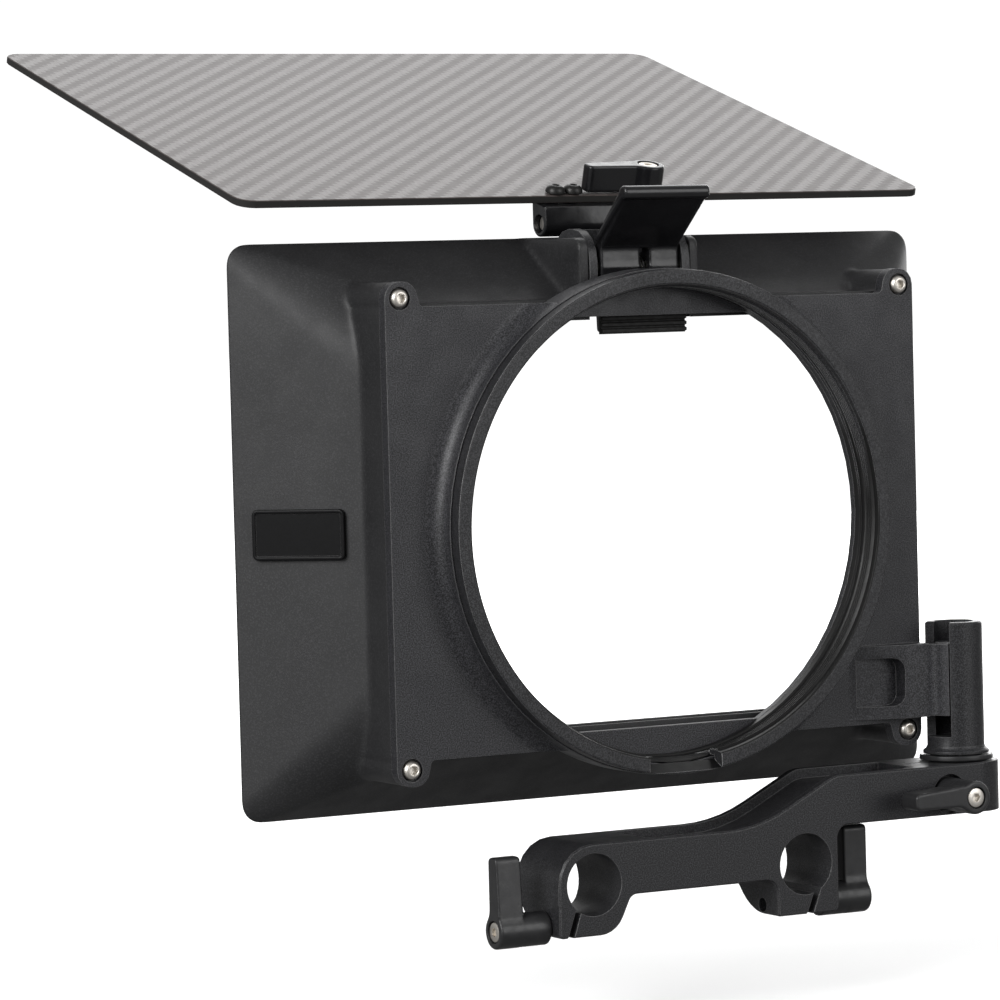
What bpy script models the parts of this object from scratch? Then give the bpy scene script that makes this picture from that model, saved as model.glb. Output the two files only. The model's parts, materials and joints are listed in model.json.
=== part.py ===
"""Swing-away matte box lens hood on a 15 mm twin-rod arm.

Sizes are millimetres and turn into metres when a mesh is made.  The optical axis is the Y axis:
the operator looks along +Y, +X is to the right and +Z is up.  Shapes are drawn about the point
where the optical axis meets the rear face of the back plate; the finished assembly then moves so
that its origin lies midway between the two rods, in the rear face of the rod arm.
"""
import math

import bmesh
import bpy
from mathutils import Matrix, Vector

MM = 0.001
GAP = 0.3                       # air kept between neighbouring pieces
REACH = 5.0                     # how far a cutter runs past the face it cuts

# Driving dimensions ---------------------------------------------------------------------------
LENS_DIAMETER = 114.8           # rear opening for the lens front
FILTER_WIDTH = 143.5            # 4 x 5.65 inch filter, lying flat
FILTER_HEIGHT = 101.6
FILTER_THICKNESS = 4.0
ROD_DIAMETER = 15.0             # light-weight rod standard
ROD_SPACING = 60.0
ROD_DROP = 85.0                 # rods below the optical axis

# Back plate
SCREW_X = 70.65
SCREW_Z = 55.8
EAR_RADIUS = 4.0
PLATE_SIDE = SCREW_X + EAR_RADIUS
PLATE_TOP = 53.8
PLATE_THICK = 3.0
EAR_BLEND = 1.2                 # hollow between an ear and the plate's straight edge
BULGE_RADIUS = 61.5
APERTURE_RADIUS = 56.9          # round, with a flat at top and bottom
APERTURE_TOP = 50.1
SCREW_SHANK = 1.5
SCREW_HEAD = 2.35
SCREW_HEIGHT = 1.7
SCREW_LENGTH = 11.0
SCREW_SEAT = 1.2                # depth of the counterbore the head sits in
SCREW_ROOM = 0.45               # air round the head

# Rear lens ring
RING_DEPTH = 8.6
RING_OUTER = 61.1
RING_INNER = LENS_DIAMETER / 2
RING_LIP = 3.5                  # thickness of the outer lip
SPIGOT_RADIUS = 58.4
SPIGOT_DEEP = 0.9
COLLAR_RADIUS = 61.4            # the plate's collar behind the lip
COLLAR_FILLET = 4.4
RING_STEP = 0.6                 # the bore is this much narrower behind the mouth
RING_CHAMFER = 0.3
NOTCH_HALF = 10.2               # cut at the foot of the ring
NOTCH_END = -2.6

# Hood
WALL = 2.3
HOOD_BACK = PLATE_THICK + GAP
GROOVE = FILTER_THICKNESS + 0.3
RIB_BACK = HOOD_BACK + GROOVE
RIB_THICK = 1.0
FLARE_START = RIB_BACK + RIB_THICK + GROOVE + 0.3
FLARE_WALL_START = FLARE_START + 1.4
HOOD_FRONT = 36.4
MOUTH_EDGE = 0.5                # chamfer of the mouth's outer edge
FILTER_HALF = FILTER_WIDTH / 2 + 0.45
FILTER_TOP = FILTER_HEIGHT / 2 + 0.4
BOX_SIDE = FILTER_HALF + WALL
BOX_TOP = 54.3
MOUTH_SIDE = 97.9
MOUTH_TOP = 69.6
MOUTH_CORNER = 5.0
BOX_CORNER = 1.5
TAPPED_DEPTH = 14.0             # how far the plate screws reach into the hood's corner bosses

# Latch and the bracket that carries it
BRACKET_HALF = 14.2
EAR_THICK = 2.2
BAY_HALF = BRACKET_HALF + GAP
BAY_END = 21.0
CHEEK_THICK = 2.5
CHEEK_BACK = HOOD_BACK + 4.4
CHEEK_TOP = MOUTH_TOP - 0.3
BAY_LIP = 2.6                   # roof left whole in front of the bracket's recess
BRACKET_BACK = HOOD_BACK + 4.1
BRACKET_TOP = 71.5
BRACKET_FRONT = 25.4
BRACKET_ROUND = 8.0
BRACKET_FOOT = 57.5
LATCH_ROOM = 18.2               # the latch swings behind this depth
NECK_BACK = 23.0
NECK_FOOT = 31.0
ROOF_SCREW_X = 9.0
ROOF_SCREW_Y = 22.4
ROOF_SCREW_SHANK = 1.2
ROOF_SCREW_HEAD = 2.3
ROOF_SCREW_LENGTH = 9.4
ROOF_SCREW_TIP = 66.0
LATCH_Y = 11.0
LATCH_Z = 62.0
LATCH_PIN_RADIUS = 1.2
KNUCKLE_RADIUS = 3.7
LATCH_HALF = 11.0
PADDLE_HALF = 12.1
ROLL_Y = -5.0                   # rolled top edge of the paddle
ROLL_Z = 79.7
ROLL_RADIUS = 1.7
JAW_BACK = 8.0
JAW_FOOT = 46.2
PAD_FOOT = 45.7
PAD_HALF = 12.0
RIB_PITCH = 1.5
RIB_HEIGHT = 0.8
SPRING_FROM = 0.0
SPRING_TO = 2.8
SPRING_RADIUS = 2.2
SPRING_WIRE = 0.32
SPRING_ROOM = 4.4

# Top flag
FLAG_Y = 30.0                   # hinge axis
FLAG_Z = 73.1
FLAG_TILT = 16.9                # degrees, front edge raised
FLAG_HALF = 97.8
FLAG_DEPTH = 145.6
FLAG_CORNER = 4.5
FLAG_THICK = 1.9
FLAG_UNDER = 5.13               # underside above the hinge axis, square to the flag
FLAG_PIN_RADIUS = 2.0
BARREL_RADIUS = 3.25
BARREL_LEFT = -15.2
BARREL_RIGHT = 21.4
KNUCKLE_FROM = 3.3              # the bracket's own knuckle sits between the two barrels
KNUCKLE_TO = 10.7
FLAG_SCREW_XS = (-10.4, -5.4)
FLAG_SCREW_SHANK = 1.25
FLAG_LEVER_X = 15.6
FLAG_FIX_V = 2.6                # screws and lever, measured along the flag from the hinge axis

# Post and the key that joins the plate to it
POST_X = 82.2
POST_Y = -4.0
POST_RADIUS = 7.15
POST_INSIDE = 4.9
POST_TOP = -29.0
WINDOW_FLOOR = -57.8
POST_FLOOR = -62.0
FLANGE_RIM = 0.7
FLANGE_COVE = 1.2
FLANGE_RADIUS = 8.25
WASHER_RADIUS = 9.2
SHAFT_RADIUS = 6.5
WINDOW_FROM = 148.0             # degrees round the post, from +X towards +Y
WINDOW_TO = 226.5
KEY_TOP = -34.3
KEY_FOOT = -52.3
KEY_MIDDLE = (KEY_TOP + KEY_FOOT) / 2
KEY_RADIUS = POST_RADIUS - 0.15
BARREL_INSIDE = POST_INSIDE - 0.25
RAMP_FROM = 53.0                # ramp on the plate, thickest beside the key
RAMP_TO = 67.8
RAMP_SIDE = 74.2
RAMP_RISE = 4.6
RAMP_BORDER = 0.2               # how far the ramp reaches past the key, up and down
KEY_BLEND = 3.0
POCKET_RIM = 3.0                # wall left round the ramp's recess
POCKET_FLOOR = -0.2
GRUB_RADIUS = 1.5

# Rod arm
ARM_NEAR = -14.4
ARM_FAR = 6.5
ARM_TOP = -63.9
ARM_FOOT = -76.3
ARM_LOW_TOP = -75.2
ARM_LOW_FOOT = -88.2
CLAMP_FOOT = -97.3
ROD_X = ROD_SPACING / 2
ROD_Z = -ROD_DROP
CLAMP_SIDE = ROD_X + 9.7
CLAMP_INNER = 21.8              # inner face of the right clamp
CLAMP_ROUND = 15.4              # far corner along the clamps' feet
CLAMP_SCREW_Y = -7.0
CLAMP_SCREW_Z = -95.1
CLAMP_SCREW_END = 28.0
LEVER_SEAT = 2.6                # depth of the counterbores under the post and right levers
LEVER_SEAT_RADIUS = 5.0
TROUGH_WALL = 2.4
SLIT_TOP = -89.0
BEYOND = 100.0                  # well past the arm's end
POST_SCREW_X = 73.0
POST_SCREW_Z = -71.1

# Clamping levers
LEVER_HUB = 13.8
FLAG_LEVER_HUB = 6.9
LEVER_RADIUS = 4.0
LEVER_REACH = 17.8
BLADE_HEIGHT = 6.6
BLADE_HALF = 1.9
CLAMP_SCREW_RADIUS = 1.5
CLAMP_HEAD_RADIUS = 2.4


# Outlines -------------------------------------------------------------------------------------
def polar(centre_a, centre_b, radius, degrees):
    angle = math.radians(degrees)
    return (centre_a + radius * math.cos(angle), centre_b + radius * math.sin(angle))


def arc(centre_a, centre_b, radius, start, stop, steps):
    """Points on a circle from one angle to another, both in degrees and both included."""
    turn = (stop - start) / steps
    return [polar(centre_a, centre_b, radius, start + turn * step) for step in range(steps + 1)]


def circle(centre_a, centre_b, radius, steps=32):
    return arc(centre_a, centre_b, radius, 0, 360, steps)[:-1]


def rounded(corners, steps=4):
    """Outline through (a, b, radius) corners; each corner with a radius becomes an arc."""
    outline = []
    for index, (a, b, radius) in enumerate(corners):
        here = Vector((a, b))
        before = Vector(corners[index - 1][:2]) - here
        after = Vector(corners[(index + 1) % len(corners)][:2]) - here
        if radius == 0:
            outline.append((a, b))
            continue
        before.normalize()
        after.normalize()
        half = before.angle(after) / 2
        inward = (before + after).normalized()
        middle = here + inward * (radius / math.sin(half))
        first = here + before * (radius / math.tan(half)) - middle
        last = here + after * (radius / math.tan(half)) - middle
        sweep = first.angle_signed(last)
        for step in range(steps + 1):
            turn = Matrix.Rotation(-sweep * step / steps, 2)
            outline.append(tuple(middle + turn @ first))
    return outline


def rectangle(half_a, half_b, radius, steps=4):
    corners = [(half_a, half_b), (-half_a, half_b), (-half_a, -half_b), (half_a, -half_b)]
    return rounded([(a, b, radius) for a, b in corners], steps)


def inset(outline, amount):
    """The same outline moved inward by an amount, for a chamfered end."""
    area = 0.0
    for index, (a, b) in enumerate(outline):
        next_a, next_b = outline[(index + 1) % len(outline)]
        area += a * next_b - next_a * b
    side = 1 if area > 0 else -1
    moved = []
    for index, point in enumerate(outline):
        here = Vector(point)
        arriving = (here - Vector(outline[index - 1])).normalized()
        leaving = (Vector(outline[(index + 1) % len(outline)]) - here).normalized()
        normals = [Vector((-way.y, way.x)) * side for way in (arriving, leaving)]
        bisector = (normals[0] + normals[1]).normalized()
        moved.append(tuple(here + bisector * (amount / max(bisector.dot(normals[0]), 0.3))))
    return moved


# Meshes ---------------------------------------------------------------------------------------
def stand(axis, a, b, along):
    """A point of an outline that is extruded or turned along an axis."""
    places = {"x": (along, a, b), "y": (a, along, b), "z": (a, b, along)}
    return Vector(places[axis]) * MM


def finished(shape):
    bmesh.ops.recalc_face_normals(shape, faces=shape.faces)
    return shape


def lofted(axis, stations):
    """A closed solid through outlines of equal point count: [(along, outline), ...]."""
    shape = bmesh.new()
    rings = []
    for along, outline in stations:
        rings.append([shape.verts.new(stand(axis, a, b, along)) for a, b in outline])
    for ring, following in zip(rings, rings[1:]):
        for index in range(len(ring)):
            after = (index + 1) % len(ring)
            shape.faces.new((ring[index], ring[after], following[after], following[index]))
    shape.faces.new(rings[0])
    shape.faces.new(rings[-1])
    return finished(shape)


def prism(axis, outline, start, stop, chamfer=0.0):
    """An outline extruded along an axis, with both ends chamfered if asked."""
    if chamfer == 0:
        return lofted(axis, [(start, outline), (stop, outline)])
    small = inset(outline, chamfer)
    return lofted(axis, [(start, small), (start + chamfer, outline),
                         (stop - chamfer, outline), (stop, small)])


def block(x_from, x_to, y_from, y_to, z_from, z_to):
    outline = [(x_from, y_from), (x_to, y_from), (x_to, y_to), (x_from, y_to)]
    return prism("z", outline, z_from, z_to)


def turned(axis, centre, profile, steps=32, closed=False):
    """A profile of (radius, along) turned round an axis; a closed profile makes a ring."""
    shape = bmesh.new()
    columns = []
    for radius, along in profile:
        if radius == 0:
            columns.append([shape.verts.new(stand(axis, centre[0], centre[1], along))] * steps)
            continue
        points = circle(centre[0], centre[1], radius, steps)
        columns.append([shape.verts.new(stand(axis, a, b, along)) for a, b in points])
    pairs = list(zip(columns, columns[1:]))
    if closed:
        pairs.append((columns[-1], columns[0]))
    for column, following in pairs:
        for index in range(steps):
            after = (index + 1) % steps
            corners = []
            for vert in (column[index], column[after], following[after], following[index]):
                if vert not in corners:
                    corners.append(vert)
            shape.faces.new(corners)
    return finished(shape)


def pin(axis, centre, radius, start, stop, chamfer=0.0, steps=24):
    return prism(axis, circle(centre[0], centre[1], radius, steps), start, stop, chamfer)


def coil(axis, centre, radius, wire, start, stop, turns, steps=14, sides=6):
    """A round wire wound along an axis, with flat cut ends."""
    shape = bmesh.new()
    rings = []
    count = round(turns * steps)
    for step in range(count + 1):
        angle = 2 * math.pi * step / steps
        along = start + (stop - start) * step / count
        ring = []
        for side in range(sides):
            lean = 2 * math.pi * side / sides
            reach = radius + wire * math.cos(lean)
            a = centre[0] + reach * math.cos(angle)
            b = centre[1] + reach * math.sin(angle)
            ring.append(shape.verts.new(stand(axis, a, b, along + wire * math.sin(lean))))
        rings.append(ring)
    for ring, following in zip(rings, rings[1:]):
        for side in range(sides):
            after = (side + 1) % sides
            shape.faces.new((ring[side], ring[after], following[after], following[side]))
    shape.faces.new(rings[0])
    shape.faces.new(rings[-1])
    return finished(shape)


# Objects --------------------------------------------------------------------------------------
def clear_scene():
    for item in list(bpy.data.objects):
        bpy.data.objects.remove(item, do_unlink=True)


def link(item, parent):
    bpy.context.scene.collection.objects.link(item)
    if parent is not None:
        item.parent = parent
    bpy.context.view_layer.update()
    return item


def axis_frame(name, x, y, z, parent=None, tilt=0.0):
    """An empty on a joint's axis, placed in the model's own frame."""
    empty = bpy.data.objects.new(name, None)
    empty.empty_display_size = 0.02
    link(empty, parent)
    turn = Matrix.Rotation(math.radians(tilt), 4, "X")
    empty.matrix_world = Matrix.Translation(Vector((x, y, z)) * MM) @ turn
    bpy.context.view_layer.update()
    return empty


def solid(name, shape, frame=None, local=False, smooth=35.0):
    """A mesh object; a local one is drawn in its frame's axes, the others in the model's."""
    mesh = bpy.data.meshes.new(name)
    shape.to_mesh(mesh)
    shape.free()
    mesh.shade_smooth()
    mesh.set_sharp_from_angle(angle=math.radians(smooth))
    item = link(bpy.data.objects.new(name, mesh), frame)
    if frame is not None and not local:
        item.matrix_parent_inverse = frame.matrix_world.inverted()
        bpy.context.view_layer.update()
    return item


def shaped(item, operation, *tools):
    """Joins, cuts or trims an object with tools drawn in the object's own axes."""
    for number, shape in enumerate(tools):
        mesh = bpy.data.meshes.new(f"{item.name}_tool")
        shape.to_mesh(mesh)
        shape.free()
        tool = link(bpy.data.objects.new(f"{item.name}_tool", mesh), item)
        tool.hide_render = True
        tool.display_type = "WIRE"
        modifier = item.modifiers.new(f"{operation.lower()}_{number}", "BOOLEAN")
        modifier.operation = operation
        modifier.solver = "EXACT"
        modifier.object = tool
    return item


def fuse(item, *tools):
    return shaped(item, "UNION", *tools)


def cut(item, *tools):
    return shaped(item, "DIFFERENCE", *tools)


def keep(item, *tools):
    return shaped(item, "INTERSECT", *tools)


# Materials ------------------------------------------------------------------------------------
def material(name, colour, roughness, metallic):
    made = bpy.data.materials.new(name)
    made.use_nodes = True
    made.diffuse_color = (*colour, 1)
    shader = made.node_tree.nodes["Principled BSDF"]
    shader.inputs["Base Color"].default_value = (*colour, 1)
    shader.inputs["Roughness"].default_value = roughness
    shader.inputs["Metallic"].default_value = metallic
    return made


def moulded_black():
    return material("moulded_black", (0.035, 0.035, 0.037), 0.55, 0.0)


def anodised_black():
    return material("anodised_black", (0.03, 0.03, 0.032), 0.45, 0.6)


def gloss_black():
    return material("gloss_black", (0.008, 0.008, 0.009), 0.2, 0.0)


def satin_black():
    return material("satin_black", (0.02, 0.02, 0.021), 0.35, 0.0)


def stainless():
    return material("stainless", (0.62, 0.60, 0.58), 0.28, 1.0)


def black_oxide():
    return material("black_oxide", (0.02, 0.02, 0.02), 0.4, 0.8)


def carbon_fibre():
    return material("carbon_fibre", (0.09, 0.088, 0.085), 0.3, 0.0)


def black_rubber():
    return material("black_rubber", (0.02, 0.02, 0.02), 0.75, 0.0)


def paint(items, made):
    for item in items:
        item.data.materials.clear()
        item.data.materials.append(made)


# Back plate and lens ring ---------------------------------------------------------------------
def plate_outline():
    """One rounded ear at each corner screw and an arc round the lens ring, top and bottom."""
    meet = math.degrees(math.asin(PLATE_TOP / BULGE_RADIUS))
    tip = SCREW_Z + EAR_RADIUS
    inner = SCREW_X - EAR_RADIUS
    left = rounded([(-PLATE_SIDE, 0, 0), (-PLATE_SIDE, tip, EAR_RADIUS - 0.02),
                    (-inner, tip, EAR_RADIUS - 0.1), (-inner + 1.3, PLATE_TOP, EAR_BLEND),
                    (0, PLATE_TOP, 0)])[:-1]
    upper = left + arc(0, 0, BULGE_RADIUS, 180 - meet, meet, 18)
    upper += [(-a, b) for a, b in reversed(left[1:])]
    lower = [(a, -b) for a, b in reversed(upper)]
    return upper + [(PLATE_SIDE, 0)] + lower[:-1]


def screw_corners():
    return [(x, z) for x in (-SCREW_X, SCREW_X) for z in (-SCREW_Z, SCREW_Z)]


def plate_round():
    """Turned shape the plate is trimmed to: flat, with a filleted collar and the ring's seat."""
    fillet = arc(COLLAR_RADIUS + COLLAR_FILLET, -COLLAR_FILLET, COLLAR_FILLET, 180, 90, 6)
    collar_top = -RING_DEPTH + RING_LIP + GAP
    seat = SPIGOT_RADIUS + GAP
    beyond = PLATE_SIDE * 2
    profile = [(0, SPIGOT_DEEP + GAP), (seat, SPIGOT_DEEP + GAP), (seat, collar_top),
               (COLLAR_RADIUS, collar_top)] + fillet
    profile += [(beyond, 0), (beyond, PLATE_THICK + REACH), (0, PLATE_THICK + REACH)]
    return turned("y", (0, 0), profile, 72)


def key():
    """The part of the plate that fills the post's window, blended into the ramp."""
    foot = -RAMP_RISE + 0.05
    rise = foot - KEY_BLEND - POST_Y
    run = math.sqrt((KEY_RADIUS + KEY_BLEND) ** 2 - rise ** 2)
    meet = math.degrees(math.atan2(rise, -run))
    slack = math.degrees(GAP / KEY_RADIUS)
    plan = [(RAMP_TO + 0.5, PLATE_THICK / 2), (RAMP_TO + 0.5, foot)]
    plan += arc(POST_X - run, foot - KEY_BLEND, KEY_BLEND, 90, meet + 180, 5)
    plan += arc(POST_X, POST_Y, KEY_RADIUS, meet + 360, WINDOW_TO - slack, 6)[1:]
    far = polar(POST_X, POST_Y, KEY_RADIUS, WINDOW_FROM + slack)
    plan += [(POST_X, POST_Y), far, (RAMP_SIDE, far[1]), (RAMP_SIDE, PLATE_THICK / 2)]
    return prism("z", plan, KEY_FOOT, KEY_TOP)


def ramp():
    """Wedge on the plate that rises towards the key."""
    slope = RAMP_RISE / (RAMP_TO - RAMP_FROM)
    plan = [(RAMP_FROM - 2, PLATE_THICK / 2), (RAMP_FROM - 2, 2 * slope),
            (RAMP_TO, -RAMP_RISE), (RAMP_SIDE, -RAMP_RISE), (RAMP_SIDE, PLATE_THICK / 2)]
    return prism("z", plan, KEY_FOOT - RAMP_BORDER, KEY_TOP + RAMP_BORDER)


def ramp_pocket():
    """Rounded recess that leaves a rib round the ramp's thick end."""
    start = RAMP_FROM + 2
    stop = RAMP_TO - 0.7
    top = KEY_TOP - POCKET_RIM
    foot = KEY_FOOT + POCKET_RIM
    outline = rounded([(start, top, 0), (start, foot, 0), (stop, foot, 3), (stop, top, 3)])
    return prism("y", outline, -RAMP_RISE - REACH, POCKET_FLOOR)


def back_plate(box):
    deep = prism("y", plate_outline(), -RING_DEPTH, PLATE_THICK)
    plate = keep(solid("back_plate", deep, box), plate_round())
    reach = math.degrees(math.asin(APERTURE_TOP / APERTURE_RADIUS))
    aperture = arc(0, 0, APERTURE_RADIUS, -reach, reach, 20)
    aperture += arc(0, 0, APERTURE_RADIUS, 180 - reach, 180 + reach, 20)
    fuse(plate, ramp(), key(), pin("z", (POST_X, POST_Y), BARREL_INSIDE,
                                   KEY_FOOT - RAMP_BORDER, KEY_TOP + RAMP_BORDER))
    cut(plate,
        ramp_pocket(),
        prism("y", aperture, -RING_DEPTH - REACH, PLATE_THICK + REACH))
    head = SCREW_HEAD + SCREW_ROOM
    shank = SCREW_SHANK + GAP
    beyond = PLATE_THICK + REACH
    stepped = [(0, -REACH), (head, -REACH), (head, SCREW_SEAT), (shank, SCREW_SEAT),
               (shank, beyond), (0, beyond)]
    for corner in screw_corners():
        cut(plate, turned("y", corner, stepped, 20))
    return plate


def lens_ring(box):
    """Thick lip with fine inner steps; its spigot sits in the plate's collar."""
    narrow = RING_INNER - RING_STEP
    wide = RING_INNER - 0.1
    rear = -RING_DEPTH
    back = rear + RING_LIP
    bore = [(RING_INNER, rear + RING_CHAMFER), (narrow, rear + RING_LIP - 0.1)]
    for along in (-4.0, -1.6):
        bore += [(narrow, along), (wide, along + 0.3), (wide, along + 1.1), (narrow, along + 1.4)]
    outside = [(narrow, SPIGOT_DEEP), (SPIGOT_RADIUS, SPIGOT_DEEP), (SPIGOT_RADIUS, back),
               (RING_OUTER, back), (RING_OUTER, rear + RING_CHAMFER),
               (RING_OUTER - RING_CHAMFER, rear), (RING_INNER + RING_CHAMFER, rear)]
    ring = solid("lens_ring", turned("y", (0, 0), bore + outside, 72, closed=True), box)
    notch = [(rear - 0.6, -RING_OUTER + RING_CHAMFER), (NOTCH_END, -RING_INNER + 0.4),
             (NOTCH_END, -RING_INNER + REACH), (rear - 0.6, -RING_INNER + REACH)]
    return cut(ring, prism("x", notch, -NOTCH_HALF, NOTCH_HALF))


# Hood -----------------------------------------------------------------------------------------
def flare_top(y):
    """Height of the hood's outer top face at a depth."""
    share = (y - FLARE_START) / (HOOD_FRONT - FLARE_START)
    return BOX_TOP + share * (MOUTH_TOP - BOX_TOP)


def hood_outside(box):
    """Box behind, flare in front, a boss at each corner and a cheek on each side of the latch."""
    back = rectangle(BOX_SIDE, BOX_TOP, BOX_CORNER)
    mouth = rectangle(MOUTH_SIDE, MOUTH_TOP, MOUTH_CORNER)
    mouth_edge = rectangle(MOUTH_SIDE - MOUTH_EDGE, MOUTH_TOP - MOUTH_EDGE,
                           MOUTH_CORNER - MOUTH_EDGE)
    hood = solid("hood_shell", lofted("y", [
        (HOOD_BACK, back), (FLARE_START, back), (HOOD_FRONT - MOUTH_EDGE, mouth),
        (HOOD_FRONT, mouth_edge)]), box)
    for corner in screw_corners():
        fuse(hood, pin("y", corner, EAR_RADIUS - 0.05, HOOD_BACK, HOOD_FRONT - 10))
    cheek_front = HOOD_FRONT - 0.6
    cheeks = rounded([(CHEEK_BACK, 50.0, 0), (cheek_front, 58.0, 0),
                      (cheek_front, CHEEK_TOP, 0.5), (CHEEK_BACK, CHEEK_TOP, 2.5)])
    return fuse(hood, prism("x", cheeks, -BAY_HALF - CHEEK_THICK, BAY_HALF + CHEEK_THICK))


def hood_inside():
    """Cutters for the clear opening, the flare's inside and the two filter grooves."""
    mouth = rectangle(MOUTH_SIDE - WALL, MOUTH_TOP - WALL, MOUTH_CORNER - 2)
    back = rectangle(BOX_SIDE - WALL - 1.0, BOX_TOP - WALL - 1.0, BOX_CORNER)
    opening = rectangle(FILTER_HALF - 3.0, APERTURE_TOP - 0.8, 3.0)
    cutters = [prism("y", opening, HOOD_BACK - REACH, HOOD_FRONT),
               lofted("y", [(FLARE_WALL_START, back), (HOOD_FRONT - 0.4, mouth),
                            (HOOD_FRONT + REACH, mouth)])]
    for start, reach in ((HOOD_BACK, REACH), (RIB_BACK + RIB_THICK, 0)):
        cutters.append(block(-FILTER_HALF, BOX_SIDE + REACH, start - reach, start + GROOVE,
                             -FILTER_TOP, FILTER_TOP))
    return cutters


def latch_bay():
    """Recess in the roof for the latch and its bracket."""
    lip = HOOD_FRONT - BAY_LIP
    high = MOUTH_TOP + 10
    outline = [(HOOD_BACK - REACH, 45.0), (BAY_END, 45.0), (BAY_END, flare_top(BAY_END)),
               (lip, flare_top(lip)), (lip, high), (HOOD_BACK - REACH, high)]
    return prism("x", outline, -BAY_HALF, BAY_HALF)


def hood_shell(box):
    hood = hood_outside(box)
    cut(hood, *hood_inside())
    cut(hood, latch_bay())
    for corner in screw_corners():
        cut(hood, pin("y", corner, SCREW_SHANK + GAP, HOOD_BACK - REACH, TAPPED_DEPTH, steps=16))
    return hood


def badge(box):
    """A blank plaque on the left flare, parallel to the flare's face."""
    slope = math.atan2(MOUTH_SIDE - BOX_SIDE, HOOD_FRONT - FLARE_START)
    plaque = solid("badge", prism("z", rectangle(11.4, 6.1, 1.2), GAP, GAP + 1.1, 0.35),
                   box, local=True)
    along = 0.5
    x = -(BOX_SIDE + along * (MOUTH_SIDE - BOX_SIDE))
    y = FLARE_START + along * (HOOD_FRONT - FLARE_START)
    out = Vector((-math.cos(slope), -math.sin(slope), 0))
    up = Vector((0, 0, 1))
    across = up.cross(out)
    turn = Matrix((across, up, out)).transposed().to_4x4()
    plaque.matrix_world = Matrix.Translation(Vector((x, y, 0)) * MM) @ turn
    return plaque


def button_screw(name, frame, radius, head, shank, length, steps=18):
    """A round-headed socket screw along its own Z, with the head on top of Z = 0."""
    profile = [(0, -length), (shank, -length), (shank, 0), (radius, 0), (radius, head * 0.35),
               (radius * 0.82, head * 0.8), (radius * 0.55, head), (0, head)]
    screw = solid(name, turned("z", (0, 0), profile, steps), frame, local=True)
    return cut(screw, prism("z", circle(0, 0, radius * 0.42, 6), head * 0.35, head + REACH))


def aimed(item, x, y, z, along):
    """Puts an object's own Z along a direction, at a point of the model."""
    turn = Vector(along).to_track_quat("Z", "Y").to_matrix().to_4x4()
    item.matrix_world = Matrix.Translation(Vector((x, y, z)) * MM) @ turn
    return item


def plate_screws(box):
    screws = []
    for row, z in (("top", SCREW_Z), ("bottom", -SCREW_Z)):
        for side, x in (("left", -SCREW_X), ("right", SCREW_X)):
            screw = button_screw(f"plate_screw_{row}_{side}", box, SCREW_HEAD, SCREW_HEIGHT,
                                 SCREW_SHANK, SCREW_LENGTH)
            screws.append(aimed(screw, x, SCREW_SEAT - GAP, z, (0, -1, 0)))
    return screws


# Latch ----------------------------------------------------------------------------------------
def latch_bracket(box):
    """Two ears for the latch pin, a body on the hood's roof and the flag's hinge knuckle."""
    step = BAY_END - GAP
    ear = rounded([(BRACKET_BACK, BRACKET_FOOT, 0.8), (BRACKET_BACK, BRACKET_TOP, BRACKET_ROUND),
                   (BRACKET_FRONT, BRACKET_TOP, BRACKET_ROUND),
                   (BRACKET_FRONT, flare_top(BRACKET_FRONT) + GAP, 0),
                   (step, flare_top(step) + GAP, 0), (step, BRACKET_FOOT, 1.0)])
    bracket = solid("latch_bracket", prism("x", ear, -BRACKET_HALF, BRACKET_HALF), box)
    room = [(-REACH, 40.0), (LATCH_ROOM, 40.0), (LATCH_ROOM, 80.0), (-REACH, 80.0)]
    cut(bracket, prism("x", room, EAR_THICK - BRACKET_HALF, BRACKET_HALF - EAR_THICK))
    neck_foot = NECK_FOOT - BARREL_RADIUS - 1.0
    neck = [(NECK_BACK, 66.0), (neck_foot, flare_top(neck_foot) + GAP),
            (NECK_FOOT, flare_top(NECK_FOOT) + GAP), (FLAG_Y + BARREL_RADIUS, FLAG_Z),
            (FLAG_Y - BARREL_RADIUS, FLAG_Z + 1.0), (NECK_BACK, 69.0)]
    start = KNUCKLE_FROM + GAP
    stop = KNUCKLE_TO - GAP
    fuse(bracket, prism("x", neck, start, stop),
         pin("x", (FLAG_Y, FLAG_Z), BARREL_RADIUS, start, stop))
    cut(bracket,
        pin("x", (LATCH_Y, LATCH_Z), LATCH_PIN_RADIUS + GAP, -20, 20, steps=16),
        pin("x", (FLAG_Y, FLAG_Z), FLAG_PIN_RADIUS + GAP, 0, 20))
    for x in (-ROOF_SCREW_X, ROOF_SCREW_X):
        cut(bracket, pin("z", (x, ROOF_SCREW_Y), ROOF_SCREW_SHANK + GAP, 50, ROOF_SCREW_TIP,
                         steps=16))
    return bracket


def bracket_screws(hood, box):
    """Two screws from inside the hood that hold the latch bracket on the roof."""
    screws = []
    seat = flare_top(ROOF_SCREW_Y) - WALL - 1.6
    for side, x in (("left", -ROOF_SCREW_X), ("right", ROOF_SCREW_X)):
        place = (x, ROOF_SCREW_Y)
        cut(hood, pin("z", place, ROOF_SCREW_SHANK + GAP, 40, 70, steps=16))
        cut(hood, pin("z", place, ROOF_SCREW_HEAD + 0.5, 40, seat + GAP, steps=16))
        screw = button_screw(f"bracket_screw_{side}", box, ROOF_SCREW_HEAD, 1.2,
                             ROOF_SCREW_SHANK, ROOF_SCREW_LENGTH, 16)
        screws.append(aimed(screw, x, ROOF_SCREW_Y, seat, (0, 0, -1)))
    return screws


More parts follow.
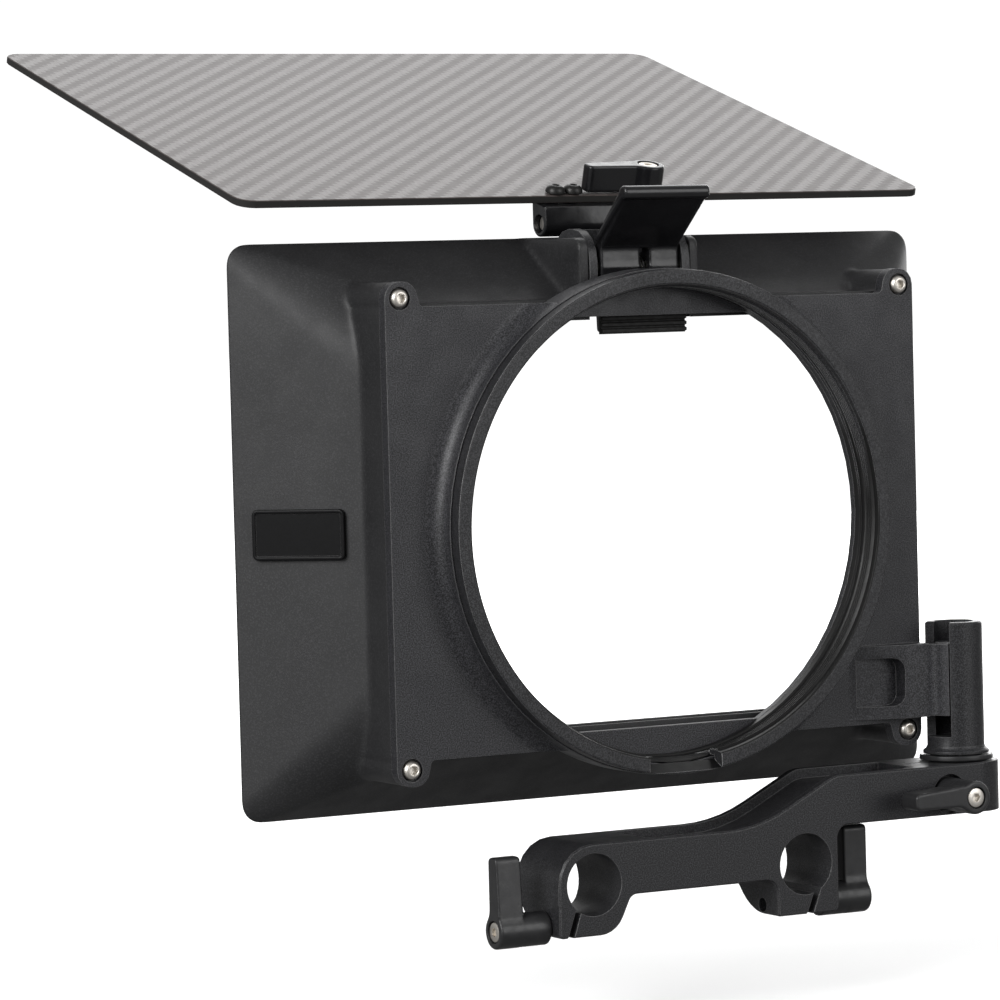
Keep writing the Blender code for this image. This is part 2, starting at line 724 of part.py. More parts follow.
def latch(latch_axis):
    """Paddle, two knuckles and the jaw arm, cast in one piece."""
    jaw_front = JAW_BACK + 2.6
    section = rounded([(JAW_BACK, JAW_FOOT, 0.5), (jaw_front, JAW_FOOT, 0.5), (11.4, 56.5, 2),
                       (11.4, 66.5, 1.5), (9.2, 68.6, 1.0), (ROLL_Y + 0.7, ROLL_Z + 1.1, 0.6),
                       (ROLL_Y - 0.9, ROLL_Z - 0.5, 0.6), (7.4, 66.6, 1.5), (7.5, 57.5, 1.5),
                       (JAW_BACK + 0.3, 54.5, 1.5)])
    lever = solid("latch", prism("x", section, -LATCH_HALF, LATCH_HALF, 0.3), latch_axis)
    wing = rounded([(7.4, 68.2, 0.8), (9.4, 68.4, 0.5), (ROLL_Y + 0.7, ROLL_Z + 1.1, 0.6),
                    (ROLL_Y - 0.9, ROLL_Z - 0.5, 0.6)])
    knuckle = LATCH_HALF - 0.1
    roll = PADDLE_HALF - 0.1
    fuse(lever,
         prism("x", wing, -PADDLE_HALF, PADDLE_HALF, 0.3),
         pin("x", (ROLL_Y, ROLL_Z), ROLL_RADIUS, -roll, roll, 0.3),
         pin("x", (LATCH_Y, LATCH_Z), KNUCKLE_RADIUS, -knuckle, knuckle, 0.3))
    return cut(lever,
               pin("x", (LATCH_Y, LATCH_Z), LATCH_PIN_RADIUS + GAP, -20, 20, steps=16),
               block(SPRING_FROM, SPRING_TO, 0, 20, LATCH_Z - SPRING_ROOM, LATCH_Z + SPRING_ROOM))


def latch_pad(latch_axis):
    """Rubber jaw face with three ribs that bears on the filter."""
    back = JAW_BACK - GAP
    face = back - 1.0
    outline = [(back, PAD_FOOT), (back, PAD_FOOT + 3 * RIB_PITCH)]
    for rib in range(3):
        top = PAD_FOOT + (3 - rib) * RIB_PITCH - 0.2
        outline += [(face, top), (face - RIB_HEIGHT, top - 0.2), (face - RIB_HEIGHT, top - 0.9),
                    (face, top - 1.1)]
    outline.append((face, PAD_FOOT))
    return solid("latch_pad", prism("x", outline, -PAD_HALF, PAD_HALF), latch_axis)


def latch_pin(box):
    return solid("latch_pin", pin("x", (LATCH_Y, LATCH_Z), LATCH_PIN_RADIUS,
                                  -BRACKET_HALF + 0.2, BRACKET_HALF - 0.2, 0.2, 16), box)


def latch_spring(box):
    """Torsion spring round the latch pin, in the gap between the knuckles."""
    room = SPRING_WIRE * 2
    return solid("latch_spring", coil("x", (LATCH_Y, LATCH_Z), SPRING_RADIUS, SPRING_WIRE,
                                      SPRING_FROM + room, SPRING_TO - room, 1.9), box)


# Flag -----------------------------------------------------------------------------------------
def flag_sheet(flag_axis):
    """Flat sheet drawn in the flag's own frame: X across, Y along it, Z square to it."""
    middle = FLAG_DEPTH / 2 + 0.13
    outline = [(a, b + middle) for a, b in rectangle(FLAG_HALF, FLAG_DEPTH / 2, FLAG_CORNER)]
    sheet = solid("flag_sheet", prism("z", outline, FLAG_UNDER, FLAG_UNDER + FLAG_THICK, 0.2),
                  flag_axis, local=True)
    for x in FLAG_SCREW_XS:
        cut(sheet, pin("z", (x, FLAG_FIX_V), FLAG_SCREW_SHANK + GAP, 0, 20, steps=16))
    return cut(sheet, pin("z", (FLAG_LEVER_X, FLAG_FIX_V), CLAMP_SCREW_RADIUS + GAP, 0, 20,
                          steps=16))


def flag_bracket(flag_axis):
    """U-section bar under the flag's rear edge, cut away for the fixed knuckle."""
    lean = math.radians(FLAG_TILT)
    top = FLAG_UNDER - GAP
    upright = top * math.tan(lean)
    half = BARREL_RADIUS / math.cos(lean)
    section = [(upright - half, top)]
    section += arc(0, 0, BARREL_RADIUS, 180 - FLAG_TILT, 360 - FLAG_TILT, 16)
    section.append((upright + half, top))
    bar = solid("flag_bracket", prism("x", section, BARREL_LEFT, BARREL_RIGHT, 0.3),
                flag_axis, local=True)
    cut(bar,
        block(KNUCKLE_FROM, KNUCKLE_TO, -12, 12, -12, BARREL_RADIUS + 0.4),
        pin("x", (0, 0), FLAG_PIN_RADIUS + GAP, BARREL_LEFT - REACH, BARREL_RIGHT + REACH),
        pin("z", (FLAG_LEVER_X, FLAG_FIX_V), CLAMP_SCREW_RADIUS + GAP, 0, 20, steps=16))
    for x in FLAG_SCREW_XS:
        cut(bar, pin("z", (x, FLAG_FIX_V), FLAG_SCREW_SHANK + GAP, 0.2, 20, steps=16))
    return bar


def flag_pin(box):
    return solid("flag_pin", pin("x", (FLAG_Y, FLAG_Z), FLAG_PIN_RADIUS, BARREL_LEFT + 1.2,
                                 BARREL_RIGHT - 1.2, 0.3), box)


# Levers ---------------------------------------------------------------------------------------
def lever_outline():
    """Round hub running into a straight blade along +X."""
    lean = 52
    hub = arc(0, 0, LEVER_RADIUS, lean, 360 - lean, 20)
    blade = rounded([(LEVER_RADIUS + 1.6, -BLADE_HALF - 0.1, 0), (LEVER_REACH, -BLADE_HALF, 1.2),
                     (LEVER_REACH, BLADE_HALF, 1.2), (LEVER_RADIUS + 1.6, BLADE_HALF + 0.1, 0)])
    return hub + blade


def clamp_lever(name, frame, hub_length):
    """A tommy lever: hub along its own Z, outer face at Z = 0, blade along its own X."""
    lever = solid(name, prism("z", lever_outline(), -BLADE_HEIGHT, 0, 0.4), frame, local=True)
    if hub_length > BLADE_HEIGHT:
        fuse(lever, pin("z", (0, 0), LEVER_RADIUS - 0.05, -hub_length, -1.0, 0.4))
    else:
        cut(lever, block(-20, 20, -20, 20, -20, -hub_length))
    return cut(lever,
               pin("z", (0, 0), CLAMP_SCREW_RADIUS + GAP, -20, 20, steps=16),
               pin("z", (0, 0), CLAMP_HEAD_RADIUS + GAP, -1.8, 20))


def clamp_screw(name, frame, length):
    """The lever's own screw: socket head in the hub, shank through the joint."""
    profile = [(0, -length), (CLAMP_SCREW_RADIUS, -length), (CLAMP_SCREW_RADIUS, -1.5),
               (CLAMP_HEAD_RADIUS, -1.5), (CLAMP_HEAD_RADIUS, -0.3),
               (CLAMP_HEAD_RADIUS - 0.3, 0), (0, 0)]
    screw = solid(name, turned("z", (0, 0), profile, 20), frame, local=True)
    return cut(screw, prism("z", circle(0, 0, 1.1, 6), -1.0, REACH))


def lever_frame(name, x, y, z, along, blade, parent):
    """An empty whose Z is a clamping screw's axis and whose X is its lever's blade."""
    empty = bpy.data.objects.new(name, None)
    empty.empty_display_size = 0.01
    link(empty, parent)
    outward = Vector(along).normalized()
    reach = Vector(blade).normalized()
    turn = Matrix((reach, outward.cross(reach), outward)).transposed().to_4x4()
    empty.matrix_world = Matrix.Translation(Vector((x, y, z)) * MM) @ turn
    bpy.context.view_layer.update()
    return empty


# Post and hinge -------------------------------------------------------------------------------
def swing_post(post):
    """Tube with a window for the hinge arm, a flange, and a shaft down into the rod arm."""
    centre = (POST_X, POST_Y)
    profile = [(0, WINDOW_FLOOR), (POST_INSIDE, WINDOW_FLOOR), (POST_INSIDE, POST_TOP),
               (POST_RADIUS - 0.4, POST_TOP), (POST_RADIUS, POST_TOP - 0.4),
               (POST_RADIUS, POST_FLOOR + FLANGE_RIM + FLANGE_COVE),
               (POST_RADIUS + 0.4, POST_FLOOR + FLANGE_RIM + FLANGE_COVE * 0.4),
               (FLANGE_RADIUS, POST_FLOOR + FLANGE_RIM),
               (FLANGE_RADIUS, POST_FLOOR), (SHAFT_RADIUS, POST_FLOOR),
               (SHAFT_RADIUS, ARM_FOOT + 0.9), (SHAFT_RADIUS - 0.5, ARM_FOOT + 0.4),
               (0, ARM_FOOT + 0.4)]
    tube = solid("swing_post", turned("z", centre, profile, 40), post)
    window = [centre] + arc(POST_X, POST_Y, 20, WINDOW_FROM, WINDOW_TO, 8)
    return cut(tube,
               prism("z", window, WINDOW_FLOOR + 0.2, POST_TOP + REACH),
               pin("x", (POST_Y, KEY_MIDDLE), GRUB_RADIUS + GAP, POST_X, POST_X + 20, steps=16))


def height_screw(post):
    """Grub screw through the post's far wall that holds the key at its height."""
    outer = POST_X + POST_RADIUS - 0.3
    inner = POST_X + BARREL_INSIDE + GAP
    profile = [(0, inner), (GRUB_RADIUS - 0.5, inner), (GRUB_RADIUS, inner + 0.5),
               (GRUB_RADIUS, outer), (0, outer)]
    screw = solid("height_screw", turned("x", (POST_Y, KEY_MIDDLE), profile, 16), post)
    return cut(screw, prism("x", circle(POST_Y, KEY_MIDDLE, 0.8, 6), outer - 1.2, outer + REACH))


def post_washer():
    profile = [(SHAFT_RADIUS + GAP, ARM_TOP + GAP), (WASHER_RADIUS, ARM_TOP + GAP),
               (WASHER_RADIUS, POST_FLOOR - GAP), (SHAFT_RADIUS + GAP, POST_FLOOR - GAP)]
    return solid("post_washer", turned("z", (POST_X, POST_Y), profile, 40, closed=True))


# Rod arm --------------------------------------------------------------------------------------
def arm_outline():
    """The arm seen along the rods: low bar with two clamps, rising to the post's boss."""
    side = CLAMP_SIDE - 0.2
    return rounded([
        (-CLAMP_SIDE, ARM_LOW_TOP, 9.5), (16.6, ARM_LOW_TOP, 40), (39.2, ARM_TOP, 8),
        (BEYOND, ARM_TOP, 0), (BEYOND, ARM_FOOT, 0), (side, ARM_FOOT, 3.2),
        (side, CLAMP_FOOT, 1.6), (CLAMP_INNER, CLAMP_FOOT, 0.6), (CLAMP_INNER, ARM_LOW_FOOT, 3.3),
        (-19.6, ARM_LOW_FOOT, 2.5), (-24.0, CLAMP_FOOT, 7.0), (-CLAMP_SIDE, CLAMP_FOOT, 1.0)], 5)


def arm_trough():
    """Recess sunk into the arm's top between its two long walls."""
    end = POST_SCREW_X - 9
    floor = ARM_LOW_TOP - TROUGH_WALL
    raised = ARM_TOP - TROUGH_WALL
    above = ARM_TOP + 9
    outline = rounded([(-14, floor, 0), (17.2, floor, 40), (39.6, raised, 8), (end, raised, 0),
                       (end, above, 0), (-14, above, 0)])
    return prism("y", outline, ARM_NEAR + TROUGH_WALL, ARM_FAR - TROUGH_WALL)


def slit(top, foot, width):
    """A straight saw cut from a rod bore out through the clamp's foot."""
    half = width / 2
    low = CLAMP_FOOT - 2
    outline = [(top - half, SLIT_TOP), (top + half, SLIT_TOP), (foot + half, low),
               (foot - half, low)]
    return prism("y", outline, ARM_NEAR - REACH, ARM_FAR + REACH)


def clamp_bore(axis, centre, start, stop):
    return pin(axis, centre, CLAMP_SCREW_RADIUS + GAP, start, stop, steps=16)


def rod_arm():
    arm = solid("rod_arm", prism("y", arm_outline(), ARM_NEAR, ARM_FAR, 0.4))
    end = (ARM_FAR - ARM_NEAR) / 2
    past = -CLAMP_SIDE - REACH
    plan = [(past, ARM_FAR + 1), (past, ARM_NEAR - 1), (POST_X - 5, ARM_NEAR - 1)]
    plan += arc(POST_X, (ARM_NEAR + ARM_FAR) / 2, end, -90, 90, 16)
    plan.append((POST_X - 5, ARM_FAR + 1))
    side = rounded([(ARM_NEAR - REACH, CLAMP_FOOT - 0.1, 0),
                    (ARM_FAR + 0.1, CLAMP_FOOT - 0.1, CLAMP_ROUND),
                    (ARM_FAR + 0.1, ARM_TOP + REACH, 0),
                    (ARM_NEAR - REACH, ARM_TOP + REACH, 0)], 10)
    keep(arm, prism("z", plan, CLAMP_FOOT - REACH, ARM_TOP + REACH),
         prism("x", side, past, BEYOND))
    cut(arm, arm_trough())
    for x in (-ROD_X, ROD_X):
        cut(arm, pin("y", (x, ROD_Z), ROD_DIAMETER / 2 + 0.03, ARM_NEAR - 1, ARM_FAR + 1,
                     steps=40))
    clamp = (CLAMP_SCREW_Y, CLAMP_SCREW_Z)
    boss = (POST_SCREW_X, POST_SCREW_Z)
    cut(arm,
        slit(-33.8, -37.4, 1.7), slit(34.3, 30.1, 1.8),
        clamp_bore("x", clamp, past, GAP - CLAMP_SCREW_END),
        clamp_bore("x", clamp, 0, CLAMP_SIDE + REACH),
        pin("x", clamp, LEVER_SEAT_RADIUS, CLAMP_SIDE - 0.2 - LEVER_SEAT, CLAMP_SIDE + 1),
        clamp_bore("y", boss, ARM_NEAR - REACH, ARM_FAR - 2),
        pin("y", boss, LEVER_SEAT_RADIUS, ARM_NEAR - 1, ARM_NEAR + LEVER_SEAT),
        pin("z", (POST_X, POST_Y), SHAFT_RADIUS + GAP, CLAMP_FOOT, ARM_TOP + REACH),
        block(66.5, POST_X - 4, POST_Y - 0.6, POST_Y + 0.6, ARM_FOOT - REACH, ARM_TOP + REACH))
    return arm


# Assembly -------------------------------------------------------------------------------------
def lever_sets(flag_axis):
    """The four clamping levers, each with its screw: name, frame, hub length, screw length."""
    left = CLAMP_SIDE + GAP + LEVER_HUB
    right = CLAMP_SIDE - 0.2 - LEVER_SEAT + GAP + LEVER_HUB
    near = ARM_NEAR + LEVER_SEAT - GAP - LEVER_HUB
    height = FLAG_UNDER + FLAG_THICK + GAP + FLAG_LEVER_HUB
    lean = math.radians(FLAG_TILT)
    normal = (0, -math.sin(lean), math.cos(lean))
    flag_y = FLAG_Y + FLAG_FIX_V * math.cos(lean) - height * math.sin(lean)
    flag_z = FLAG_Z + FLAG_FIX_V * math.sin(lean) + height * math.cos(lean)
    frames = (
        ("rod_lever_left", (-left, CLAMP_SCREW_Y, CLAMP_SCREW_Z), (-1, 0, 0), (0, 0, 1), None,
         LEVER_HUB, left - CLAMP_SCREW_END),
        ("rod_lever_right", (right, CLAMP_SCREW_Y, CLAMP_SCREW_Z), (1, 0, 0), (0, 0, 1), None,
         LEVER_HUB, right - CLAMP_SCREW_END),
        ("post_lever", (POST_SCREW_X, near, POST_SCREW_Z), (0, -1, 0), (-1, 0, 0), None,
         LEVER_HUB, LEVER_HUB + 14),
        ("flag_lever", (FLAG_LEVER_X, flag_y, flag_z), normal, (-1, 0, 0), flag_axis,
         FLAG_LEVER_HUB, height - FLAG_PIN_RADIUS - 2.2),
    )
    levers = []
    screws = []
    for name, place, along, blade, parent, hub, length in frames:
        frame = lever_frame(f"{name}_axis", *place, along, blade, parent)
        levers.append(clamp_lever(name, frame, hub))
        screws.append(clamp_screw(name.replace("lever", "clamp_screw"), frame, length))
    return levers, screws


def move_to_rods():
    """Moves the assembly's free-standing objects, and with them all others, onto the origin."""
    shift = Matrix.Translation(Vector((0, -ARM_NEAR, -ROD_Z)) * MM)
    for item in bpy.data.objects:
        if item.parent is None:
            item.matrix_world = shift @ item.matrix_world
    bpy.context.view_layer.update()


def build():
    clear_scene()
    post = axis_frame("post_axis", POST_X, POST_Y, ARM_TOP)
    box = axis_frame("box_axis", POST_X, POST_Y, KEY_MIDDLE, post)
    latch_axis = axis_frame("latch_axis", 0, LATCH_Y, LATCH_Z, box)
    flag_axis = axis_frame("flag_axis", 0, FLAG_Y, FLAG_Z, box, FLAG_TILT)

    hood = hood_shell(box)
    plate = back_plate(box)
    ring = lens_ring(box)
    bracket = latch_bracket(box)
    bar = flag_bracket(flag_axis)
    fixings = plate_screws(box)
    dark_fixings = bracket_screws(hood, box)
    for side, x in zip(("left", "right"), FLAG_SCREW_XS):
        screw = button_screw(f"flag_screw_{side}", flag_axis, 2.4, 1.7, FLAG_SCREW_SHANK,
                             FLAG_THICK + 3.0, 16)
        screw.location = Vector((x, FLAG_FIX_V, FLAG_UNDER + FLAG_THICK + GAP)) * MM
        dark_fixings.append(screw)
    levers, screws = lever_sets(flag_axis)

    paint([hood, badge(box)], moulded_black())
    paint([plate, ring, bracket, swing_post(post), rod_arm()], anodised_black())
    paint([bar, latch(latch_axis), levers[3]], gloss_black())
    paint(levers[:3] + [post_washer()], satin_black())
    paint(fixings + screws + [flag_pin(box), latch_pin(box)], stainless())
    paint(dark_fixings + [height_screw(post), latch_spring(box)], black_oxide())
    paint([flag_sheet(flag_axis)], carbon_fibre())
    paint([latch_pad(latch_axis)], black_rubber())
    move_to_rods()


build()
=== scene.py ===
"""Looks of the swing-away lens hood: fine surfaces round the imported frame, materials and light.

Shapes are drawn in millimetres: the hood and the ring about the point where the optical axis
meets the rear of the back plate, screws and levers in their own axes.
"""
import json
import math

import bmesh
import bpy
from mathutils import Matrix, Vector

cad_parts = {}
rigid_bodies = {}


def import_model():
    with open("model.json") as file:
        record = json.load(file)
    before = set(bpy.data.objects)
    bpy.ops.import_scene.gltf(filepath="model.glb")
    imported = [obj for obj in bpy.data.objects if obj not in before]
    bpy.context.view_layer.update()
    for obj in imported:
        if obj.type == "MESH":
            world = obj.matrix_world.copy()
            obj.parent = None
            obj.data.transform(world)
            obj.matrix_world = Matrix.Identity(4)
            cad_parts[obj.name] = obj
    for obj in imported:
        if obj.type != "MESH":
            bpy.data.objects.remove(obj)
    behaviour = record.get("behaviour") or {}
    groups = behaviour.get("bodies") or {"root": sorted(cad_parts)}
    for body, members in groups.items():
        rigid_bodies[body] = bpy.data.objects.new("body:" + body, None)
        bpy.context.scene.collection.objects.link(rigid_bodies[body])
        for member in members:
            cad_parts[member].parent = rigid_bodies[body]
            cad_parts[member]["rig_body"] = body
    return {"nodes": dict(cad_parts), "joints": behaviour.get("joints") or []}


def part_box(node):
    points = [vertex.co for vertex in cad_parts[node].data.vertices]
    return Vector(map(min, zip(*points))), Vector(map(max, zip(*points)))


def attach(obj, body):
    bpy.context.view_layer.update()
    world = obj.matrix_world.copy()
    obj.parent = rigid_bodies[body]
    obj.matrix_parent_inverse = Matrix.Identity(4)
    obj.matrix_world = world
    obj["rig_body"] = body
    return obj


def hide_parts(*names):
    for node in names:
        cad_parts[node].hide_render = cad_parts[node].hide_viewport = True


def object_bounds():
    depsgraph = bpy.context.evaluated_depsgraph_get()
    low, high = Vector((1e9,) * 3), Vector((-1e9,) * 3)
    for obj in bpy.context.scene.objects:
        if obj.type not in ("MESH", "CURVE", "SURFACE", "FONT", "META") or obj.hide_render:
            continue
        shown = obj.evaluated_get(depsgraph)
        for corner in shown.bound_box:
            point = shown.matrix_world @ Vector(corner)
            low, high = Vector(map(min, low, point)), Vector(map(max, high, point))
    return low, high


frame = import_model()
cad_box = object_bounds()
nodes = frame["nodes"]
joints = {joint["name"]: joint for joint in frame["joints"]}

MM = 0.001
REACH = 5.0                     # how far a cutter runs past the face it cuts
RING_DEPTH = 8.6                # the ring's rear face behind the back plate's
ring_low, ring_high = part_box("lens_ring")
OPTICAL = Vector((0, ring_low.y + RING_DEPTH * MM, (ring_low.z + ring_high.z) / 2))

# Hood
WALL = 2.3
GAP = 0.3
GROOVE = 4.3                    # width of a filter groove
RIB_THICK = 1.0                 # rib between the two grooves
BOX_TOP = 54.3
BOX_SIDE = 74.5
BOX_CORNER = 1.5
MOUTH_CORNER = 5.0
CREASE_RADIUS = 17.0            # rounding of the flare where it leaves the box
BOSS_RADIUS = 3.95
OPENING_TOP = 49.3
OPENING_CORNER = 3.0
FILTER_HALF = 72.2
FILTER_TOP = 51.2
CHEEK_HALF = 17.0               # raised roof on which the latch bracket stands
CHEEK_RISE = 4.4
CHEEK_ROUND = 2.5
BAY_HALF = 14.5                 # gap in the roof for the latch
BAY_FOOT = 45.0
BAY_END = 21.0
ABOVE = 80.0                    # clear of everything above the hood
OVERRUN = 4.0                   # length trimmed off each end of the moulded outside

# Ring
MOUTH_RADIUS = 57.4
SPIGOT_RADIUS = 58.4
LIP_THICK = 3.5
THREAD_PITCH = 0.75
THREAD_TURNS = 4
NOTCH_HALF = 10.2

# Levers
HUB_RADIUS = 4.15
BLADE_HALF = 2.05
BLADE_REACH = 17.8
BLADE_HEIGHT = 6.8
BLADE_TIP = 1.2
LEVER_FILLET = 4.0
LONG_HUB = 13.8
FLAG_HUB = 6.9                  # the flag's lever stands on a shorter hub

# Screws
PLATE_HEAD = (2.35, 1.7, 1.0)   # radius, height, half the hexagon's width
FLAG_HEAD = (2.5, 1.9, 0.8)
FLAG_HEAD_SEAT = 1.7            # depth of the flag screws' seat under the CAD head's top


# Outlines -------------------------------------------------------------------------------------
def polar(centre_a, centre_b, radius, degrees):
    angle = math.radians(degrees)
    return (centre_a + radius * math.cos(angle), centre_b + radius * math.sin(angle))


def arc(centre_a, centre_b, radius, start, stop, steps):
    turn = (stop - start) / steps
    return [polar(centre_a, centre_b, radius, start + turn * step) for step in range(steps + 1)]


def circle(centre_a, centre_b, radius, steps=48):
    return arc(centre_a, centre_b, radius, 0, 360, steps)[:-1]


def rectangle(half_a, half_b, radius, steps=8):
    """Rounded rectangle about the origin."""
    outline = []
    for quarter, (side_a, side_b) in enumerate(((1, 1), (-1, 1), (-1, -1), (1, -1))):
        outline += arc(side_a * (half_a - radius), side_b * (half_b - radius), radius,
                       90 * quarter, 90 * quarter + 90, steps)
    return outline


def inset(outline, amount):
    """The same anticlockwise outline moved inward by an amount."""
    moved = []
    for index, point in enumerate(outline):
        here = Vector(point)
        arriving = (here - Vector(outline[index - 1])).normalized()
        leaving = (Vector(outline[(index + 1) % len(outline)]) - here).normalized()
        normals = [Vector((-way.y, way.x)) for way in (arriving, leaving)]
        bisector = (normals[0] + normals[1]).normalized()
        moved.append(tuple(here + bisector * (amount / max(bisector.dot(normals[0]), 0.4))))
    return moved


# Meshes ---------------------------------------------------------------------------------------
def stand(axis, a, b, along):
    places = {"x": (along, a, b), "y": (a, along, b), "z": (a, b, along)}
    return Vector(places[axis]) * MM


def lofted(axis, stations):
    """A closed shape through outlines of equal point count: [(along, outline), ...]."""
    shape = bmesh.new()
    rings = []
    for along, outline in stations:
        rings.append([shape.verts.new(stand(axis, a, b, along)) for a, b in outline])
    for ring, following in zip(rings, rings[1:]):
        for index in range(len(ring)):
            after = (index + 1) % len(ring)
            shape.faces.new((ring[index], ring[after], following[after], following[index]))
    shape.faces.new(rings[0])
    shape.faces.new(rings[-1])
    bmesh.ops.recalc_face_normals(shape, faces=shape.faces)
    return shape


def prism(axis, outline, start, stop):
    return lofted(axis, [(start, outline), (stop, outline)])


def eased_prism(axis, outline, start, stop, radius, steps=4):
    """An extruded outline whose two end edges are rounded to a quarter circle."""
    stations = []
    for step in range(steps + 1):
        turn = math.radians(90 * step / steps)
        stations.append((start + radius * (1 - math.sin(turn)),
                         inset(outline, radius * (1 - math.cos(turn)))))
    stations.reverse()
    far = [(start + stop - along, ring) for along, ring in reversed(stations)]
    return lofted(axis, stations + far)


def block(x_from, x_to, y_from, y_to, z_from, z_to):
    outline = [(x_from, y_from), (x_to, y_from), (x_to, y_to), (x_from, y_to)]
    return prism("z", outline, z_from, z_to)


def turned(axis, centre, profile, steps=64, closed=False):
    """A profile of (radius, along) turned round an axis; a closed profile makes a ring."""
    shape = bmesh.new()
    columns = []
    for radius, along in profile:
        if radius == 0:
            columns.append([shape.verts.new(stand(axis, centre[0], centre[1], along))] * steps)
            continue
        points = circle(centre[0], centre[1], radius, steps)
        columns.append([shape.verts.new(stand(axis, a, b, along)) for a, b in points])
    pairs = list(zip(columns, columns[1:]))
    if closed:
        pairs.append((columns[-1], columns[0]))
    for column, following in pairs:
        for index in range(steps):
            after = (index + 1) % steps
            corners = []
            for vert in (column[index], column[after], following[after], following[index]):
                if vert not in corners:
                    corners.append(vert)
            shape.faces.new(corners)
    bmesh.ops.recalc_face_normals(shape, faces=shape.faces)
    return shape


def welded(node):
    """A CAD node's surface with its triangles joined back into flat faces."""
    shape = bmesh.new()
    shape.from_mesh(nodes[node].data)
    bmesh.ops.remove_doubles(shape, verts=shape.verts, dist=0.5e-6)
    bmesh.ops.dissolve_limit(shape, angle_limit=math.radians(0.3), verts=shape.verts,
                             edges=shape.edges)
    return shape


# Pieces ---------------------------------------------------------------------------------------
def piece(name, shape):
    mesh = bpy.data.meshes.new(name)
    shape.to_mesh(mesh)
    shape.free()
    for attribute in [a.name for a in mesh.attributes if a.name == "custom_normal"]:
        mesh.attributes.remove(mesh.attributes[attribute])
    item = bpy.data.objects.new(name, mesh)
    bpy.context.scene.collection.objects.link(item)
    return item


def baked(item):
    """Applies an object's modifiers to its mesh."""
    bpy.context.view_layer.update()
    graph = bpy.context.evaluated_depsgraph_get()
    mesh = bpy.data.meshes.new_from_object(item.evaluated_get(graph))
    item.modifiers.clear()
    item.data = mesh
    return item


def combined(item, operation, *shapes):
    """Joins or cuts an object with closed shapes."""
    tools = []
    for number, shape in enumerate(shapes):
        tool = piece(f"{item.name}_tool_{number}", shape)
        modifier = item.modifiers.new(f"tool_{number}", "BOOLEAN")
        modifier.operation = operation
        modifier.solver = "EXACT"
        modifier.object = tool
        tools.append(tool)
    baked(item)
    for tool in tools:
        bpy.data.objects.remove(tool)
    return item


def softened(item, voxel, passes):
    """Remeshes a solid finely and relaxes it, so that its creases become moulded radii."""
    remesh = item.modifiers.new("remesh", "REMESH")
    remesh.mode = "VOXEL"
    remesh.voxel_size = voxel * MM
    relax = item.modifiers.new("relax", "SMOOTH")
    relax.factor = 0.5
    relax.iterations = passes
    return baked(item)


def eased(item, width, segments=3):
    """Rounds an object's sharp edges by a real bevel."""
    bevel = item.modifiers.new("bevel", "BEVEL")
    bevel.width = width * MM
    bevel.segments = segments
    bevel.limit_method = "ANGLE"
    bevel.angle_limit = math.radians(32)
    bevel.miter_outer = "MITER_ARC"
    bevel.use_clamp_overlap = True
    return baked(item)


def shaded(item, angle=40.0):
    item.data.shade_smooth()
    item.data.set_sharp_from_angle(angle=math.radians(angle))
    weighted = item.modifiers.new("weighted", "WEIGHTED_NORMAL")
    weighted.keep_sharp = True
    return item


def stand_for(item, node, material):
    """Puts a fine piece in a CAD node's place, on the node's body."""
    item.data.materials.clear()
    item.data.materials.append(material)
    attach(item, nodes[node]["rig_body"])
    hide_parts(node)
    return item


